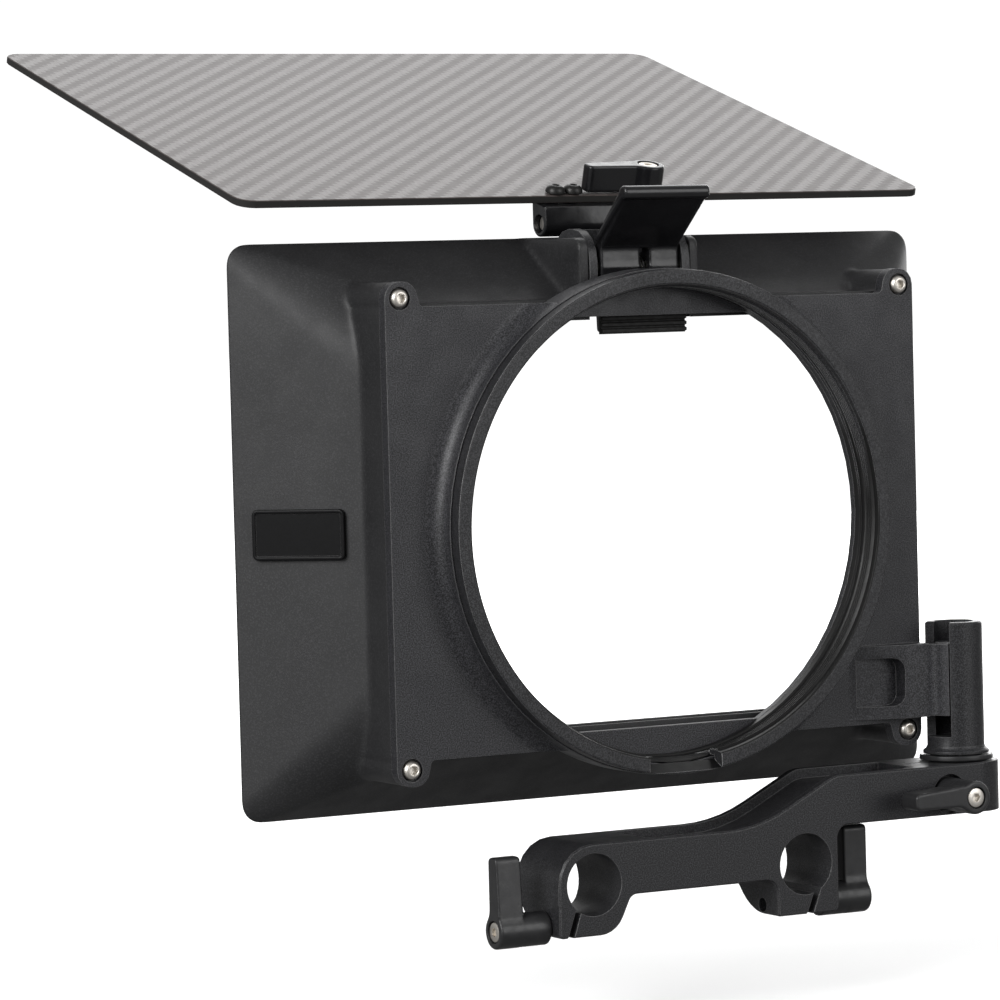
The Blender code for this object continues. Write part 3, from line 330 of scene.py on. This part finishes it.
# Node graphs ----------------------------------------------------------------------------------
class Graph:
    """A material's node tree, with short calls for the nodes used here."""

    def __init__(self, name):
        self.material = bpy.data.materials.new(name)
        self.material.use_nodes = True
        self.tree = self.material.node_tree
        self.shader = self.tree.nodes["Principled BSDF"]
        self.place = self.node("ShaderNodeTexCoord").outputs["Object"]

    def node(self, kind, **settings):
        made = self.tree.nodes.new(kind)
        for name, value in settings.items():
            setattr(made, name, value)
        return made

    def plug(self, value, socket):
        if isinstance(value, bpy.types.NodeSocket):
            self.tree.links.new(value, socket)
        else:
            socket.default_value = value

    def math(self, operation, *values):
        made = self.node("ShaderNodeMath", operation=operation)
        for index, value in enumerate(values):
            self.plug(value, made.inputs[index])
        return made.outputs[0]

    def noise(self, size_mm, detail=2.0, vector=None):
        made = self.node("ShaderNodeTexNoise")
        self.plug(self.place if vector is None else vector, made.inputs["Vector"])
        made.inputs["Scale"].default_value = 1 / (size_mm * MM)
        made.inputs["Detail"].default_value = detail
        return made.outputs["Fac"]

    def remap(self, value, low, high, to_low, to_high):
        made = self.node("ShaderNodeMapRange")
        made.interpolation_type = "SMOOTHSTEP"
        for name, number in (("From Min", low), ("From Max", high), ("To Min", to_low),
                             ("To Max", to_high)):
            self.plug(number, made.inputs[name])
        self.plug(value, made.inputs["Value"])
        return made.outputs["Result"]

    def mix(self, share, first, second):
        made = self.node("ShaderNodeMix", data_type="RGBA")
        self.plug(share, made.inputs["Factor"])
        self.plug(first if isinstance(first, bpy.types.NodeSocket) else (*first, 1),
                  made.inputs[6])
        self.plug(second if isinstance(second, bpy.types.NodeSocket) else (*second, 1),
                  made.inputs[7])
        return made.outputs[2]

    def edges(self, radius_mm):
        """0 on flat surface, up to 1 where the surface turns within a small radius."""
        bevel = self.node("ShaderNodeBevel", samples=4)
        bevel.inputs["Radius"].default_value = radius_mm * MM
        geometry = self.node("ShaderNodeNewGeometry")
        dot = self.node("ShaderNodeVectorMath", operation="DOT_PRODUCT")
        self.plug(bevel.outputs["Normal"], dot.inputs[0])
        self.plug(geometry.outputs["True Normal"], dot.inputs[1])
        return self.remap(dot.outputs["Value"], 0.97, 0.75, 0.0, 1.0)

    def towards_axis(self):
        """1 where a surface looks at the optical axis, 0 elsewhere."""
        outward = self.node("ShaderNodeVectorMath", operation="SUBTRACT")
        self.plug(self.place, outward.inputs[0])
        outward.inputs[1].default_value = OPTICAL
        across = self.node("ShaderNodeVectorMath", operation="MULTIPLY")
        self.plug(outward.outputs["Vector"], across.inputs[0])
        across.inputs[1].default_value = (1.0, 0.0, 1.0)
        facing = self.node("ShaderNodeVectorMath", operation="DOT_PRODUCT")
        self.plug(across.outputs["Vector"], facing.inputs[0])
        coordinates = self.node("ShaderNodeTexCoord")
        self.plug(coordinates.outputs["Normal"], facing.inputs[1])
        return self.remap(facing.outputs["Value"], -0.02, -0.03, 0.0, 1.0)

    def bump(self, height, depth_mm, strength=1.0, base=None):
        made = self.node("ShaderNodeBump")
        made.inputs["Strength"].default_value = strength
        made.inputs["Distance"].default_value = depth_mm * MM
        self.plug(height, made.inputs["Height"])
        if base is not None:
            self.plug(base, made.inputs["Normal"])
        return made.outputs["Normal"]

    def rounded(self, radius_mm):
        made = self.node("ShaderNodeBevel", samples=4)
        made.inputs["Radius"].default_value = radius_mm * MM
        return made.outputs["Normal"]

    def finish(self, colour, roughness, normal, metallic=0.0, specular=0.5):
        for name, value in (("Base Color", colour), ("Roughness", roughness),
                            ("Normal", normal), ("Metallic", metallic),
                            ("Specular IOR Level", specular)):
            if name == "Base Color" and not isinstance(value, bpy.types.NodeSocket):
                value = (*value, 1)
            self.plug(value, self.shader.inputs[name])
        return self.material


# Materials ------------------------------------------------------------------------------------
def moulded_black():
    """Injection-moulded hood: faint spark-eroded texture and broad changes in sheen."""
    graph = Graph("fine_moulded_black")
    grain = graph.noise(0.4, 3.0)
    cloud = graph.remap(graph.noise(24.0), 0.3, 0.7, 0.0, 1.0)
    colour = graph.mix(cloud, (0.015, 0.015, 0.016), (0.020, 0.020, 0.021))
    speck = graph.remap(grain, 0.45, 0.75, 0.0, 1.0)
    colour = graph.mix(speck, colour, (0.036, 0.036, 0.038))
    rough = graph.remap(graph.noise(9.0), 0.3, 0.7, 0.44, 0.54)
    normal = graph.bump(grain, 0.03, 0.6, graph.rounded(0.5))
    return graph.finish(colour, rough, normal, specular=0.42)


def anodised_black(name, brightest, depth, edge_wear_and_highlight, bore_painted_shade=False):
    """Bead-blasted anodised aluminium: fine grain; edges painted brighter, partly as wear and partly
    as painted highlight; the bore may be painted dark as painted shade.
    """
    graph = Graph(name)
    grain = graph.noise(0.30, 4.0)
    speck = graph.remap(grain, 0.36, 0.72, 0.0, 1.0)
    colour = graph.mix(speck, (0.009, 0.009, 0.010), brightest)
    # painted highlight and wear: edges that turn within a small radius are painted lighter
    colour = graph.mix(graph.math("MULTIPLY", graph.edges(0.35), 0.75), colour,
                       (edge_wear_and_highlight, edge_wear_and_highlight, edge_wear_and_highlight))
    # painted shade: surfaces looking at the optical axis, the ring's bore, are painted nearly black
    if bore_painted_shade:
        colour = graph.mix(graph.towards_axis(), colour, (0.004, 0.004, 0.004))
    rough = graph.remap(graph.noise(6.0), 0.3, 0.7, 0.38, 0.48)
    normal = graph.bump(grain, depth, 0.6, graph.rounded(0.3))
    return graph.finish(colour, rough, normal, metallic=0.15, specular=0.42)


def satin_black():
    """Powder-coated die casting of the clamping levers."""
    graph = Graph("fine_satin_black")
    peel = graph.noise(0.5, 2.0)
    colour = graph.mix(graph.noise(3.0), (0.016, 0.016, 0.017), (0.026, 0.026, 0.027))
    # painted highlight and wear: edges painted a little lighter
    colour = graph.mix(graph.math("MULTIPLY", graph.edges(0.4), 0.2), colour, (0.09, 0.09, 0.09))
    rough = graph.remap(graph.noise(2.0), 0.3, 0.7, 0.30, 0.42)
    return graph.finish(colour, rough, graph.bump(peel, 0.03, 0.5, graph.rounded(0.3)))


def gloss_black():
    """Glossy paint with a slight orange peel."""
    graph = Graph("fine_gloss_black")
    peel = graph.noise(0.8, 1.0)
    colour = graph.mix(graph.noise(4.0), (0.006, 0.006, 0.007), (0.012, 0.012, 0.013))
    rough = graph.remap(graph.noise(2.5), 0.3, 0.7, 0.16, 0.26)
    return graph.finish(colour, rough, graph.bump(peel, 0.02, 0.5, graph.rounded(0.35)))


def stainless():
    """Turned stainless steel with fine tool marks and small stains."""
    graph = Graph("fine_stainless")
    marks = graph.noise(0.12, 3.0)
    colour = graph.mix(graph.noise(0.9, 3.0), (0.70, 0.66, 0.60), (0.92, 0.88, 0.82))
    rough = graph.remap(marks, 0.3, 0.7, 0.30, 0.46)
    return graph.finish(colour, rough, graph.bump(marks, 0.01, 0.4, graph.rounded(0.12)),
                        metallic=1.0)


def black_oxide():
    graph = Graph("fine_black_oxide")
    marks = graph.noise(0.2, 3.0)
    colour = graph.mix(graph.noise(0.8), (0.012, 0.012, 0.012), (0.035, 0.034, 0.033))
    # painted highlight and wear: edges painted lighter
    colour = graph.mix(graph.math("MULTIPLY", graph.edges(0.2), 0.5), colour, (0.16, 0.15, 0.14))
    rough = graph.remap(marks, 0.3, 0.7, 0.30, 0.45)
    return graph.finish(colour, rough, graph.bump(marks, 0.01, 0.4, graph.rounded(0.12)),
                        metallic=0.6)


def black_rubber():
    graph = Graph("fine_black_rubber")
    grain = graph.noise(0.3, 3.0)
    colour = graph.mix(grain, (0.014, 0.014, 0.014), (0.034, 0.033, 0.032))
    rough = graph.remap(graph.noise(1.5), 0.3, 0.7, 0.60, 0.80)
    return graph.finish(colour, rough, graph.bump(grain, 0.03, 0.6, graph.rounded(0.15)),
                        specular=0.35)


def carbon_fibre(tilt):
    """2 x 2 twill under a satin lacquer, drawn in the flag's own plane; the cut edge is dark."""
    graph = Graph("fine_carbon_fibre")
    turn = graph.node("ShaderNodeMapping", vector_type="POINT")
    turn.inputs["Rotation"].default_value = (-tilt, 0.0, 0.0)
    graph.plug(graph.place, turn.inputs["Vector"])
    split = graph.node("ShaderNodeSeparateXYZ")
    graph.plug(turn.outputs["Vector"], split.inputs["Vector"])
    tow = 1.8 * MM
    across = graph.math("DIVIDE", split.outputs["X"], tow)
    along = graph.math("DIVIDE", split.outputs["Y"], tow)
    column = graph.math("FLOOR", across)
    row = graph.math("FLOOR", along)
    step = graph.math("FLOORED_MODULO", graph.math("SUBTRACT", row, column), 4.0)
    warp = graph.math("LESS_THAN", step, 1.5)

    def crown(value):
        """1 along the middle of a tow, 0 at its edges."""
        centred = graph.math("SUBTRACT", graph.math("FRACT", value), 0.5)
        return graph.math("SUBTRACT", 1.0, graph.math("MULTIPLY", 4.0,
                                                      graph.math("MULTIPLY", centred, centred)))

    def streaks(scale):
        stretch = graph.node("ShaderNodeMapping", vector_type="POINT")
        stretch.inputs["Scale"].default_value = scale
        graph.plug(turn.outputs["Vector"], stretch.inputs["Vector"])
        return graph.noise(0.16, 2.0, stretch.outputs["Vector"])

    def choose(first, second):
        return graph.math("ADD", graph.math("MULTIPLY", warp, first),
                          graph.math("MULTIPLY", graph.math("SUBTRACT", 1.0, warp), second))

    height = choose(crown(across), crown(along))
    fibre = choose(streaks((1.0, 0.06, 1.0)), streaks((0.06, 1.0, 1.0)))
    tone = choose(0.66, 0.34)
    tone = graph.math("ADD", tone, graph.math("MULTIPLY", graph.math("SUBTRACT", fibre, 0.5), 0.9))
    face = graph.mix(tone, (0.050, 0.040, 0.037), (0.095, 0.079, 0.075))
    geometry = graph.node("ShaderNodeNewGeometry")
    tilted = graph.node("ShaderNodeVectorMath", operation="DOT_PRODUCT")
    graph.plug(geometry.outputs["True Normal"], tilted.inputs[0])
    tilted.inputs[1].default_value = (0.0, -math.sin(tilt), math.cos(tilt))
    flat = graph.remap(graph.math("ABSOLUTE", tilted.outputs["Value"]), 0.55, 0.75, 0.0, 1.0)
    colour = graph.mix(flat, (0.030, 0.029, 0.028), face)
    relief = graph.math("ADD", graph.math("MULTIPLY", height, 0.8),
                        graph.math("MULTIPLY", fibre, 0.2))
    relief = graph.math("MULTIPLY", relief, flat)
    rough = graph.remap(tone, 0.1, 0.9, 0.42, 0.32)
    rough = graph.math("MAXIMUM", rough, graph.remap(flat, 0.0, 1.0, 0.6, 0.0))
    shine = graph.math("MULTIPLY", flat, graph.remap(tone, 0.1, 0.9, 0.17, 0.33))
    shine = graph.math("ADD", shine, graph.remap(flat, 0.0, 1.0, 0.12, 0.0))
    return graph.finish(colour, rough, graph.bump(relief, 0.03, 0.3), specular=shine)


def painted_badge():
    """Gloss black enamel inside a rim whose edges are painted lighter, as wear and as a painted
    highlight.
    """
    graph = Graph("fine_badge")
    grain = graph.noise(0.3, 2.0)
    colour = graph.mix(grain, (0.003, 0.003, 0.003), (0.006, 0.006, 0.007))
    # painted highlight and wear: the rim's edges are painted lighter
    colour = graph.mix(graph.math("MULTIPLY", graph.edges(0.25), 0.6), colour, (0.20, 0.20, 0.20))
    rough = graph.remap(grain, 0.3, 0.7, 0.30, 0.36)
    return graph.finish(colour, rough, graph.rounded(0.15), specular=0.14)


# Hood -----------------------------------------------------------------------------------------
def about_axis(node):
    """A node's box in millimetres about the optical axis."""
    low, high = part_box(node)
    return (low - OPTICAL) / MM, (high - OPTICAL) / MM


def on_axis(item):
    item.matrix_world = Matrix.Translation(OPTICAL)
    return item


def flare_outline(share, thickness=0.0, corner_shift=0.0):
    """The flare's section, 0 where it leaves the box and 1 at the mouth."""
    low, high = about_axis("hood_shell")
    half_x = BOX_SIDE + share * (high.x - BOX_SIDE)
    half_z = BOX_TOP + share * (-low.z - BOX_TOP)
    corner = CREASE_RADIUS + share * (MOUTH_CORNER - CREASE_RADIUS)
    return rectangle(half_x - thickness, half_z - thickness, max(corner + corner_shift, 1.0))


def hood_outside(back, flare, front):
    """Soft moulded outside, drawn past both ends so that they can be trimmed crisp."""
    length = front - flare
    stations = []
    for step in range(12):
        share = step / 10
        stations.append((flare + share * length, flare_outline(share)))
    item = piece("hood_fine", lofted("y", stations))
    box = prism("y", rectangle(BOX_SIDE, BOX_TOP, BOX_CORNER), back - OVERRUN, front - 12)
    bosses = []
    for side in ("top_left", "top_right", "bottom_left", "bottom_right"):
        corner = sum(about_axis(f"plate_screw_{side}"), Vector((0, 0, 0))) / 2
        outline = circle(corner.x, corner.z, BOSS_RADIUS)
        bosses.append(prism("y", outline, back - OVERRUN, front - 10))
    top = -about_axis("hood_shell")[0].z - 0.3
    cheeks = [(back + CHEEK_RISE, 50.0), (front - 0.6, 58.0), (front - 0.6, top)]
    cheeks += arc(back + CHEEK_RISE + CHEEK_ROUND, top - CHEEK_ROUND, CHEEK_ROUND, 90, 180, 6)
    combined(item, "UNION", box, *bosses, prism("x", cheeks, -CHEEK_HALF, CHEEK_HALF))
    softened(item, 0.7, 7)
    wide = 150
    return combined(item, "DIFFERENCE", block(-wide, wide, front, wide, -wide, wide),
                    block(-wide, wide, -wide, back, -wide, wide))


def hood(material):
    low, high = about_axis("hood_shell")
    back = low.y
    front = high.y
    rib = back + GROOVE
    second = rib + RIB_THICK
    flare = second + GROOVE + GAP
    item = hood_outside(back, flare, front)
    inner_start = flare + 1.4
    inner_stop = front - 0.4
    inner = []
    for step in range(11):
        share = step / 10
        outline = flare_outline(share, WALL + 1 - share, -3 + share)
        inner.append((inner_start + share * (inner_stop - inner_start), outline))
    inner.append((front + REACH, inner[-1][1]))
    opening = rectangle(FILTER_HALF - OPENING_CORNER, OPENING_TOP, OPENING_CORNER)
    bay = [(back - REACH, BAY_FOOT), (BAY_END, BAY_FOOT), (BAY_END, ABOVE), (back - REACH, ABOVE)]
    slope = (-low.z - BOX_TOP) / (front - flare)
    start = BAY_END - 0.5
    lip = front - 2.6
    roof = [(start, BOX_TOP + (start - flare) * slope), (lip, BOX_TOP + (lip - flare) * slope),
            (lip, ABOVE), (start, ABOVE)]
    combined(item, "DIFFERENCE", lofted("y", inner), prism("y", opening, back - REACH, front),
             block(-FILTER_HALF, BOX_SIDE + REACH, back - REACH, rib, -FILTER_TOP, FILTER_TOP),
             block(-FILTER_HALF, BOX_SIDE + REACH, second, second + GROOVE, -FILTER_TOP,
                   FILTER_TOP),
             prism("x", bay, -BAY_HALF, BAY_HALF), prism("x", roof, -BAY_HALF, BAY_HALF))
    return stand_for(on_axis(shaded(item, 38)), "hood_shell", material)


def badge(material):
    """Blank plaque with a raised rim, in the plane of the CAD plaque."""
    low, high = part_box("badge")
    tallest = max(nodes["badge"].data.polygons, key=lambda face: face.area)
    out = tallest.normal.normalized()
    if out.y > 0:
        out = -out
    centre = (low + high) / 2
    half_z = (high.z - low.z) / 2 / MM
    half_x = math.hypot(high.x - low.x, high.y - low.y) / 2 / MM
    outer = rectangle(half_x, half_z, 1.4)
    stations = [(-0.55, outer), (0.25, outer), (0.45, inset(outer, 0.08)), (0.55, inset(outer, 0.25)),
                (0.55, inset(outer, 0.75)), (0.45, inset(outer, 0.9)), (0.22, inset(outer, 1.0)),
                (0.2, inset(outer, 1.2))]
    item = piece("badge_fine", lofted("z", stations))
    across = Vector((0, 0, 1)).cross(out)
    turn = Matrix((across, (0, 0, 1), out)).transposed().to_4x4()
    item.matrix_world = Matrix.Translation(centre) @ turn
    return stand_for(shaded(item, 50), "badge", material)


# Ring -----------------------------------------------------------------------------------------
def lens_ring(material):
    """Rear ring turned finely: chamfered lip, stepped bore with a filter thread, bottom notch."""
    low, high = about_axis("lens_ring")
    rear = low.y
    front = high.y
    outer = high.x
    inner = MOUTH_RADIUS
    lip = rear + LIP_THICK
    bore = [(inner + 0.45, rear), (inner + 0.1, rear + 0.18), (inner, rear + 0.5),
            (inner, rear + 1.6), (inner - 0.25, rear + 1.9)]
    for turn in range(THREAD_TURNS):
        start = rear + 2.2 + THREAD_PITCH * turn
        bore += [(inner - 0.6, start), (inner - 0.6, start + 0.2), (inner - 0.15, start + 0.45)]
    bore += [(inner - 0.6, rear + 5.4), (inner - 0.1, rear + 5.7), (inner - 0.1, rear + 7.4),
             (inner - 0.6, rear + 7.7), (inner - 0.6, front)]
    outside = [(SPIGOT_RADIUS, front), (SPIGOT_RADIUS, lip), (outer - 0.3, lip),
               (outer - 0.08, lip - 0.1), (outer, lip - 0.35), (outer, rear + 0.45),
               (outer - 0.1, rear + 0.15), (outer - 0.4, rear)]
    item = piece("lens_ring_fine", turned("y", (0, 0), bore + outside, 288, closed=True))
    notch = [(rear - 0.6, -outer + 0.3), (-2.6, -inner + 0.4), (-2.6, -inner + 4),
             (rear - 0.6, -inner + 4)]
    combined(item, "DIFFERENCE", prism("x", notch, -NOTCH_HALF, NOTCH_HALF))
    return stand_for(on_axis(shaded(item, 25)), "lens_ring", material)


# Levers and screws ----------------------------------------------------------------------------
def outward_frame(place, out, blade):
    """Axes at a clamp screw's outer end: Z along the screw, X along the lever's blade."""
    out = Vector(out).normalized()
    blade = Vector(blade).normalized()
    turn = Matrix((blade, out.cross(blade), out)).transposed().to_4x4()
    return Matrix.Translation(Vector(place)) @ turn


def lever_outline():
    """Round hub running through hollow fillets into a straight blade."""
    rise = BLADE_HALF + LEVER_FILLET
    run = math.sqrt((HUB_RADIUS + LEVER_FILLET) ** 2 - rise ** 2)
    meet = math.degrees(math.atan2(rise, run))
    upper = arc(run, rise, LEVER_FILLET, 270, 180 + meet, 6)
    upper.reverse()
    lower = [(a, -b) for a, b in reversed(upper)]
    outline = arc(0, 0, HUB_RADIUS, meet, 360 - meet, 28)[1:-1]
    outline += lower
    outline += arc(BLADE_REACH - BLADE_TIP, -BLADE_HALF + BLADE_TIP, BLADE_TIP, 270, 360, 4)
    outline += arc(BLADE_REACH - BLADE_TIP, BLADE_HALF - BLADE_TIP, BLADE_TIP, 0, 90, 4)
    outline += [(a, b) for a, b in reversed(upper)]
    return outline


def lever(node, joint, out, blade, material):
    """Die-cast lever: blade flush with the hub's outer face, hub running on to the clamp."""
    place = Vector(joints[joint]["pos_m"])
    hub = FLAG_HUB if node == "flag_lever" else LONG_HUB
    item = piece(f"{node}_fine", eased_prism("z", lever_outline(), -BLADE_HEIGHT, 0, 0.5))
    combined(item, "UNION", prism("z", circle(0, 0, HUB_RADIUS - 0.05), -hub, -1.0))
    softened(item, 0.2, 6)
    combined(item, "DIFFERENCE", prism("z", circle(0, 0, 2.75), -1.8, REACH))
    item.matrix_world = outward_frame(place, out, blade)
    return stand_for(shaded(item, 45), node, material)


def hex_cut(item, half_flat, floor, top):
    return combined(item, "DIFFERENCE",
                    prism("z", circle(0, 0, half_flat / math.cos(math.radians(30)), 6), floor, top))


def clamp_screw(node, joint, out, blade, material):
    """Flush socket head in the lever's hub."""
    profile = [(0, -5.0), (1.5, -5.0), (1.5, -1.6), (2.3, -1.6), (2.4, -1.5), (2.4, -0.45),
               (2.33, -0.3), (2.15, -0.2), (0, -0.2)]
    item = piece(f"{node}_fine", turned("z", (0, 0), profile, 48))
    hex_cut(item, 1.0, -1.3, REACH)
    item.matrix_world = outward_frame(joints[joint]["pos_m"], out, blade)
    return stand_for(shaded(item, 30), node, material)


def button_screw(node, seat, out, radius, height, half_flat, material):
    """Domed head with a hexagon socket; the socket's rim is countersunk a little."""
    rim = half_flat * 1.25
    dome = []
    for angle in range(10, 91, 10):
        turn = math.radians(angle)
        dome.append((rim + (radius - rim) * math.cos(turn), height * math.sin(turn)))
    profile = [(0, -3.0), (1.2, -3.0), (1.2, 0), (radius - 0.05, 0), (radius, 0.06)] + dome
    profile += [(rim - 0.12, height - 0.12), (0, height - 0.12)]
    item = piece(f"{node}_fine", turned("z", (0, 0), profile, 48))
    hex_cut(item, half_flat, height * 0.2, REACH)
    item.matrix_world = outward_frame(seat, out, Vector(out).orthogonal())
    return stand_for(shaded(item, 30), node, material)


# CAD shapes kept, with real edge radii ----------------------------------------------------------
def refined(node, width, material, angle=40.0):
    item = piece(f"{node}_fine", welded(node))
    if width > 0:
        eased(item, width)
    return stand_for(shaded(item, angle), node, material)


def cast(node, voxel, passes, material):
    item = piece(f"{node}_fine", welded(node))
    softened(item, voxel, passes)
    return stand_for(shaded(item, 60), node, material)


def build_pieces():
    blasted = anodised_black("fine_blasted_black", (0.066, 0.066, 0.073), 0.05, 0.26)
    anodised = anodised_black("fine_anodised_black", (0.052, 0.052, 0.056), 0.02, 0.26)
    # the ring: edges painted much lighter as wear and painted highlight, bore painted dark as painted
    # shade
    worn_and_painted_light = anodised_black("fine_worn_black_painted_light", (0.052, 0.052, 0.056), 0.02, 0.60, True)
    satin = satin_black()
    gloss = gloss_black()
    steel = stainless()
    oxide = black_oxide()
    normal = Vector(joints["flag_lever_turn"]["axis"]).normalized()
    tilt = math.atan2(-normal.y, normal.z)

    hood(moulded_black())
    badge(painted_badge())
    lens_ring(worn_and_painted_light)
    refined("back_plate", 0.25, blasted)
    for node, width in (("rod_arm", 0.4), ("swing_post", 0.25), ("latch_bracket", 0.3)):
        refined(node, width, anodised)
    refined("post_washer", 0.3, satin)
    refined("flag_sheet", 0.2, carbon_fibre(tilt))
    refined("flag_bracket", 0.3, gloss)
    refined("latch_pad", 0.1, black_rubber())
    cast("latch", 0.25, 9, gloss)
    for node in ("flag_pin", "latch_pin"):
        refined(node, 0.0, steel)
    for node in ("height_screw", "bracket_screw_left", "bracket_screw_right", "latch_spring"):
        refined(node, 0.0, oxide)

    clamps = (("rod_lever_left", "rod_clamp_screw_left", "left_lever_turn", (-1, 0, 0), (0, 0, 1)),
              ("rod_lever_right", "rod_clamp_screw_right", "right_lever_turn", (1, 0, 0), (0, 0, 1)),
              ("post_lever", "post_clamp_screw", "post_lever_turn", (0, -1, 0), (-1, 0, 0)),
              ("flag_lever", "flag_clamp_screw", "flag_lever_turn", normal, (-1, 0, 0)))
    for handle, screw, joint, out, blade in clamps:
        lever(handle, joint, out, blade, gloss if handle == "flag_lever" else satin)
        clamp_screw(screw, joint, out, blade, steel)
    for row in ("top", "bottom"):
        for side in ("left", "right"):
            node = f"plate_screw_{row}_{side}"
            low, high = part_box(node)
            seat = Vector(((low.x + high.x) / 2, low.y + PLATE_HEAD[1] * MM, (low.z + high.z) / 2))
            button_screw(node, seat, (0, -1, 0), *PLATE_HEAD, steel)
    for node in ("flag_screw_left", "flag_screw_right"):
        low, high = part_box(node)
        top = max((vert.co for vert in nodes[node].data.vertices), key=normal.dot)
        foot = min((vert.co for vert in nodes[node].data.vertices), key=normal.dot)
        middle = (low + high) / 2
        seat = middle + normal * (normal.dot(top + foot) / 2 - normal.dot(middle))
        seat += normal * (normal.dot(top - foot) / 2 - FLAG_HEAD_SEAT * MM)
        button_screw(node, seat, normal, *FLAG_HEAD, oxide)


# Stage ----------------------------------------------------------------------------------------
def floor():
    """A plain pale floor a little below the object; far away it glows into the white room."""
    shape = bmesh.new()
    bmesh.ops.create_grid(shape, x_segments=2, y_segments=2, size=9.0)
    item = piece("floor", shape)
    item.location = (0, 0, cad_box[0][2] - 0.02)
    graph = Graph("pale_floor")
    colour = graph.mix(graph.noise(40.0), (0.86, 0.86, 0.86), (0.90, 0.90, 0.90))
    distance = graph.node("ShaderNodeVectorMath", operation="LENGTH")
    graph.plug(graph.place, distance.inputs[0])
    far = graph.remap(distance.outputs["Value"], 0.1, 1.0, 0.30, 1.0)
    camera_ray = graph.node("ShaderNodeLightPath").outputs["Is Camera Ray"]
    glow = graph.math("MULTIPLY", camera_ray, far)
    graph.plug((1, 1, 1, 1), graph.shader.inputs["Emission Color"])
    graph.plug(graph.math("MULTIPLY", glow, 1.05), graph.shader.inputs["Emission Strength"])
    lit = graph.mix(camera_ray, (0.22, 0.22, 0.22), colour)
    material = graph.finish(lit, 0.7, graph.bump(graph.noise(3.0), 0.02, 0.2), specular=0.2)
    item.data.materials.append(material)


def soft_box(name, place, target, width, height, power):
    data = bpy.data.lights.new(name, "AREA")
    data.shape = "RECTANGLE"
    data.size = width
    data.size_y = height
    data.energy = power
    light = bpy.data.objects.new(name, data)
    light.location = place
    light.rotation_euler = (Vector(target) - Vector(place)).to_track_quat("-Z", "Y").to_euler()
    light.visible_camera = False
    bpy.context.scene.collection.objects.link(light)


def surroundings():
    """White studio: the camera sees white, while surfaces are lit by a dimmer room."""
    world = bpy.data.worlds.new("studio")
    world.use_nodes = True
    tree = world.node_tree
    room = tree.nodes["Background"]
    room.inputs["Color"].default_value = (1, 1, 1, 1)
    room.inputs["Strength"].default_value = 0.34
    seen = tree.nodes.new("ShaderNodeBackground")
    seen.inputs["Strength"].default_value = 1.05
    seen.inputs["Color"].default_value = (1, 1, 1, 1)
    path = tree.nodes.new("ShaderNodeLightPath")
    mix = tree.nodes.new("ShaderNodeMixShader")
    tree.links.new(path.outputs["Is Camera Ray"], mix.inputs["Fac"])
    tree.links.new(room.outputs[0], mix.inputs[1])
    tree.links.new(seen.outputs[0], mix.inputs[2])
    tree.links.new(mix.outputs[0], tree.nodes["World Output"].inputs["Surface"])
    bpy.context.scene.world = world


def lights():
    aim = OPTICAL
    soft_box("key", (-1.7, -0.7, 0.9), aim, 1.2, 1.2, 33)
    soft_box("fill", (0.9, -1.8, 0.7), aim, 1.4, 1.4, 14)
    soft_box("overhead", (0.7, 1.4, 1.4), aim, 1.8, 1.4, 16)
    soft_box("front", (1.7, 1.5, 0.2), aim, 1.2, 1.2, 22)


def camera():
    """The photograph's own view: long lens from the rear left, slightly above and rolled."""
    azimuth = math.radians(-29.19)
    elevation = math.radians(2.71)
    roll = math.radians(-1.50)
    back = Vector((math.sin(azimuth) * math.cos(elevation),
                   -math.cos(azimuth) * math.cos(elevation), math.sin(elevation)))
    right = (-back).cross(Vector((0, 0, 1))).normalized()
    up = right.cross(-back)
    tilted_right = right * math.cos(roll) + up * math.sin(roll)
    tilted_up = up * math.cos(roll) - right * math.sin(roll)
    data = bpy.data.cameras.new("camera")
    data.lens = 171.3
    data.sensor_width = 36.0
    view = bpy.data.objects.new("camera", data)
    turn = Matrix((tilted_right, tilted_up, back)).transposed().to_4x4()
    view.matrix_world = Matrix.Translation(OPTICAL + Vector((-0.5979, -0.9897, 0.0608))) @ turn
    bpy.context.scene.collection.objects.link(view)
    bpy.context.scene.camera = view


build_pieces()
floor()
surroundings()
lights()
camera()
bpy.context.scene.view_settings.view_transform = "Standard"
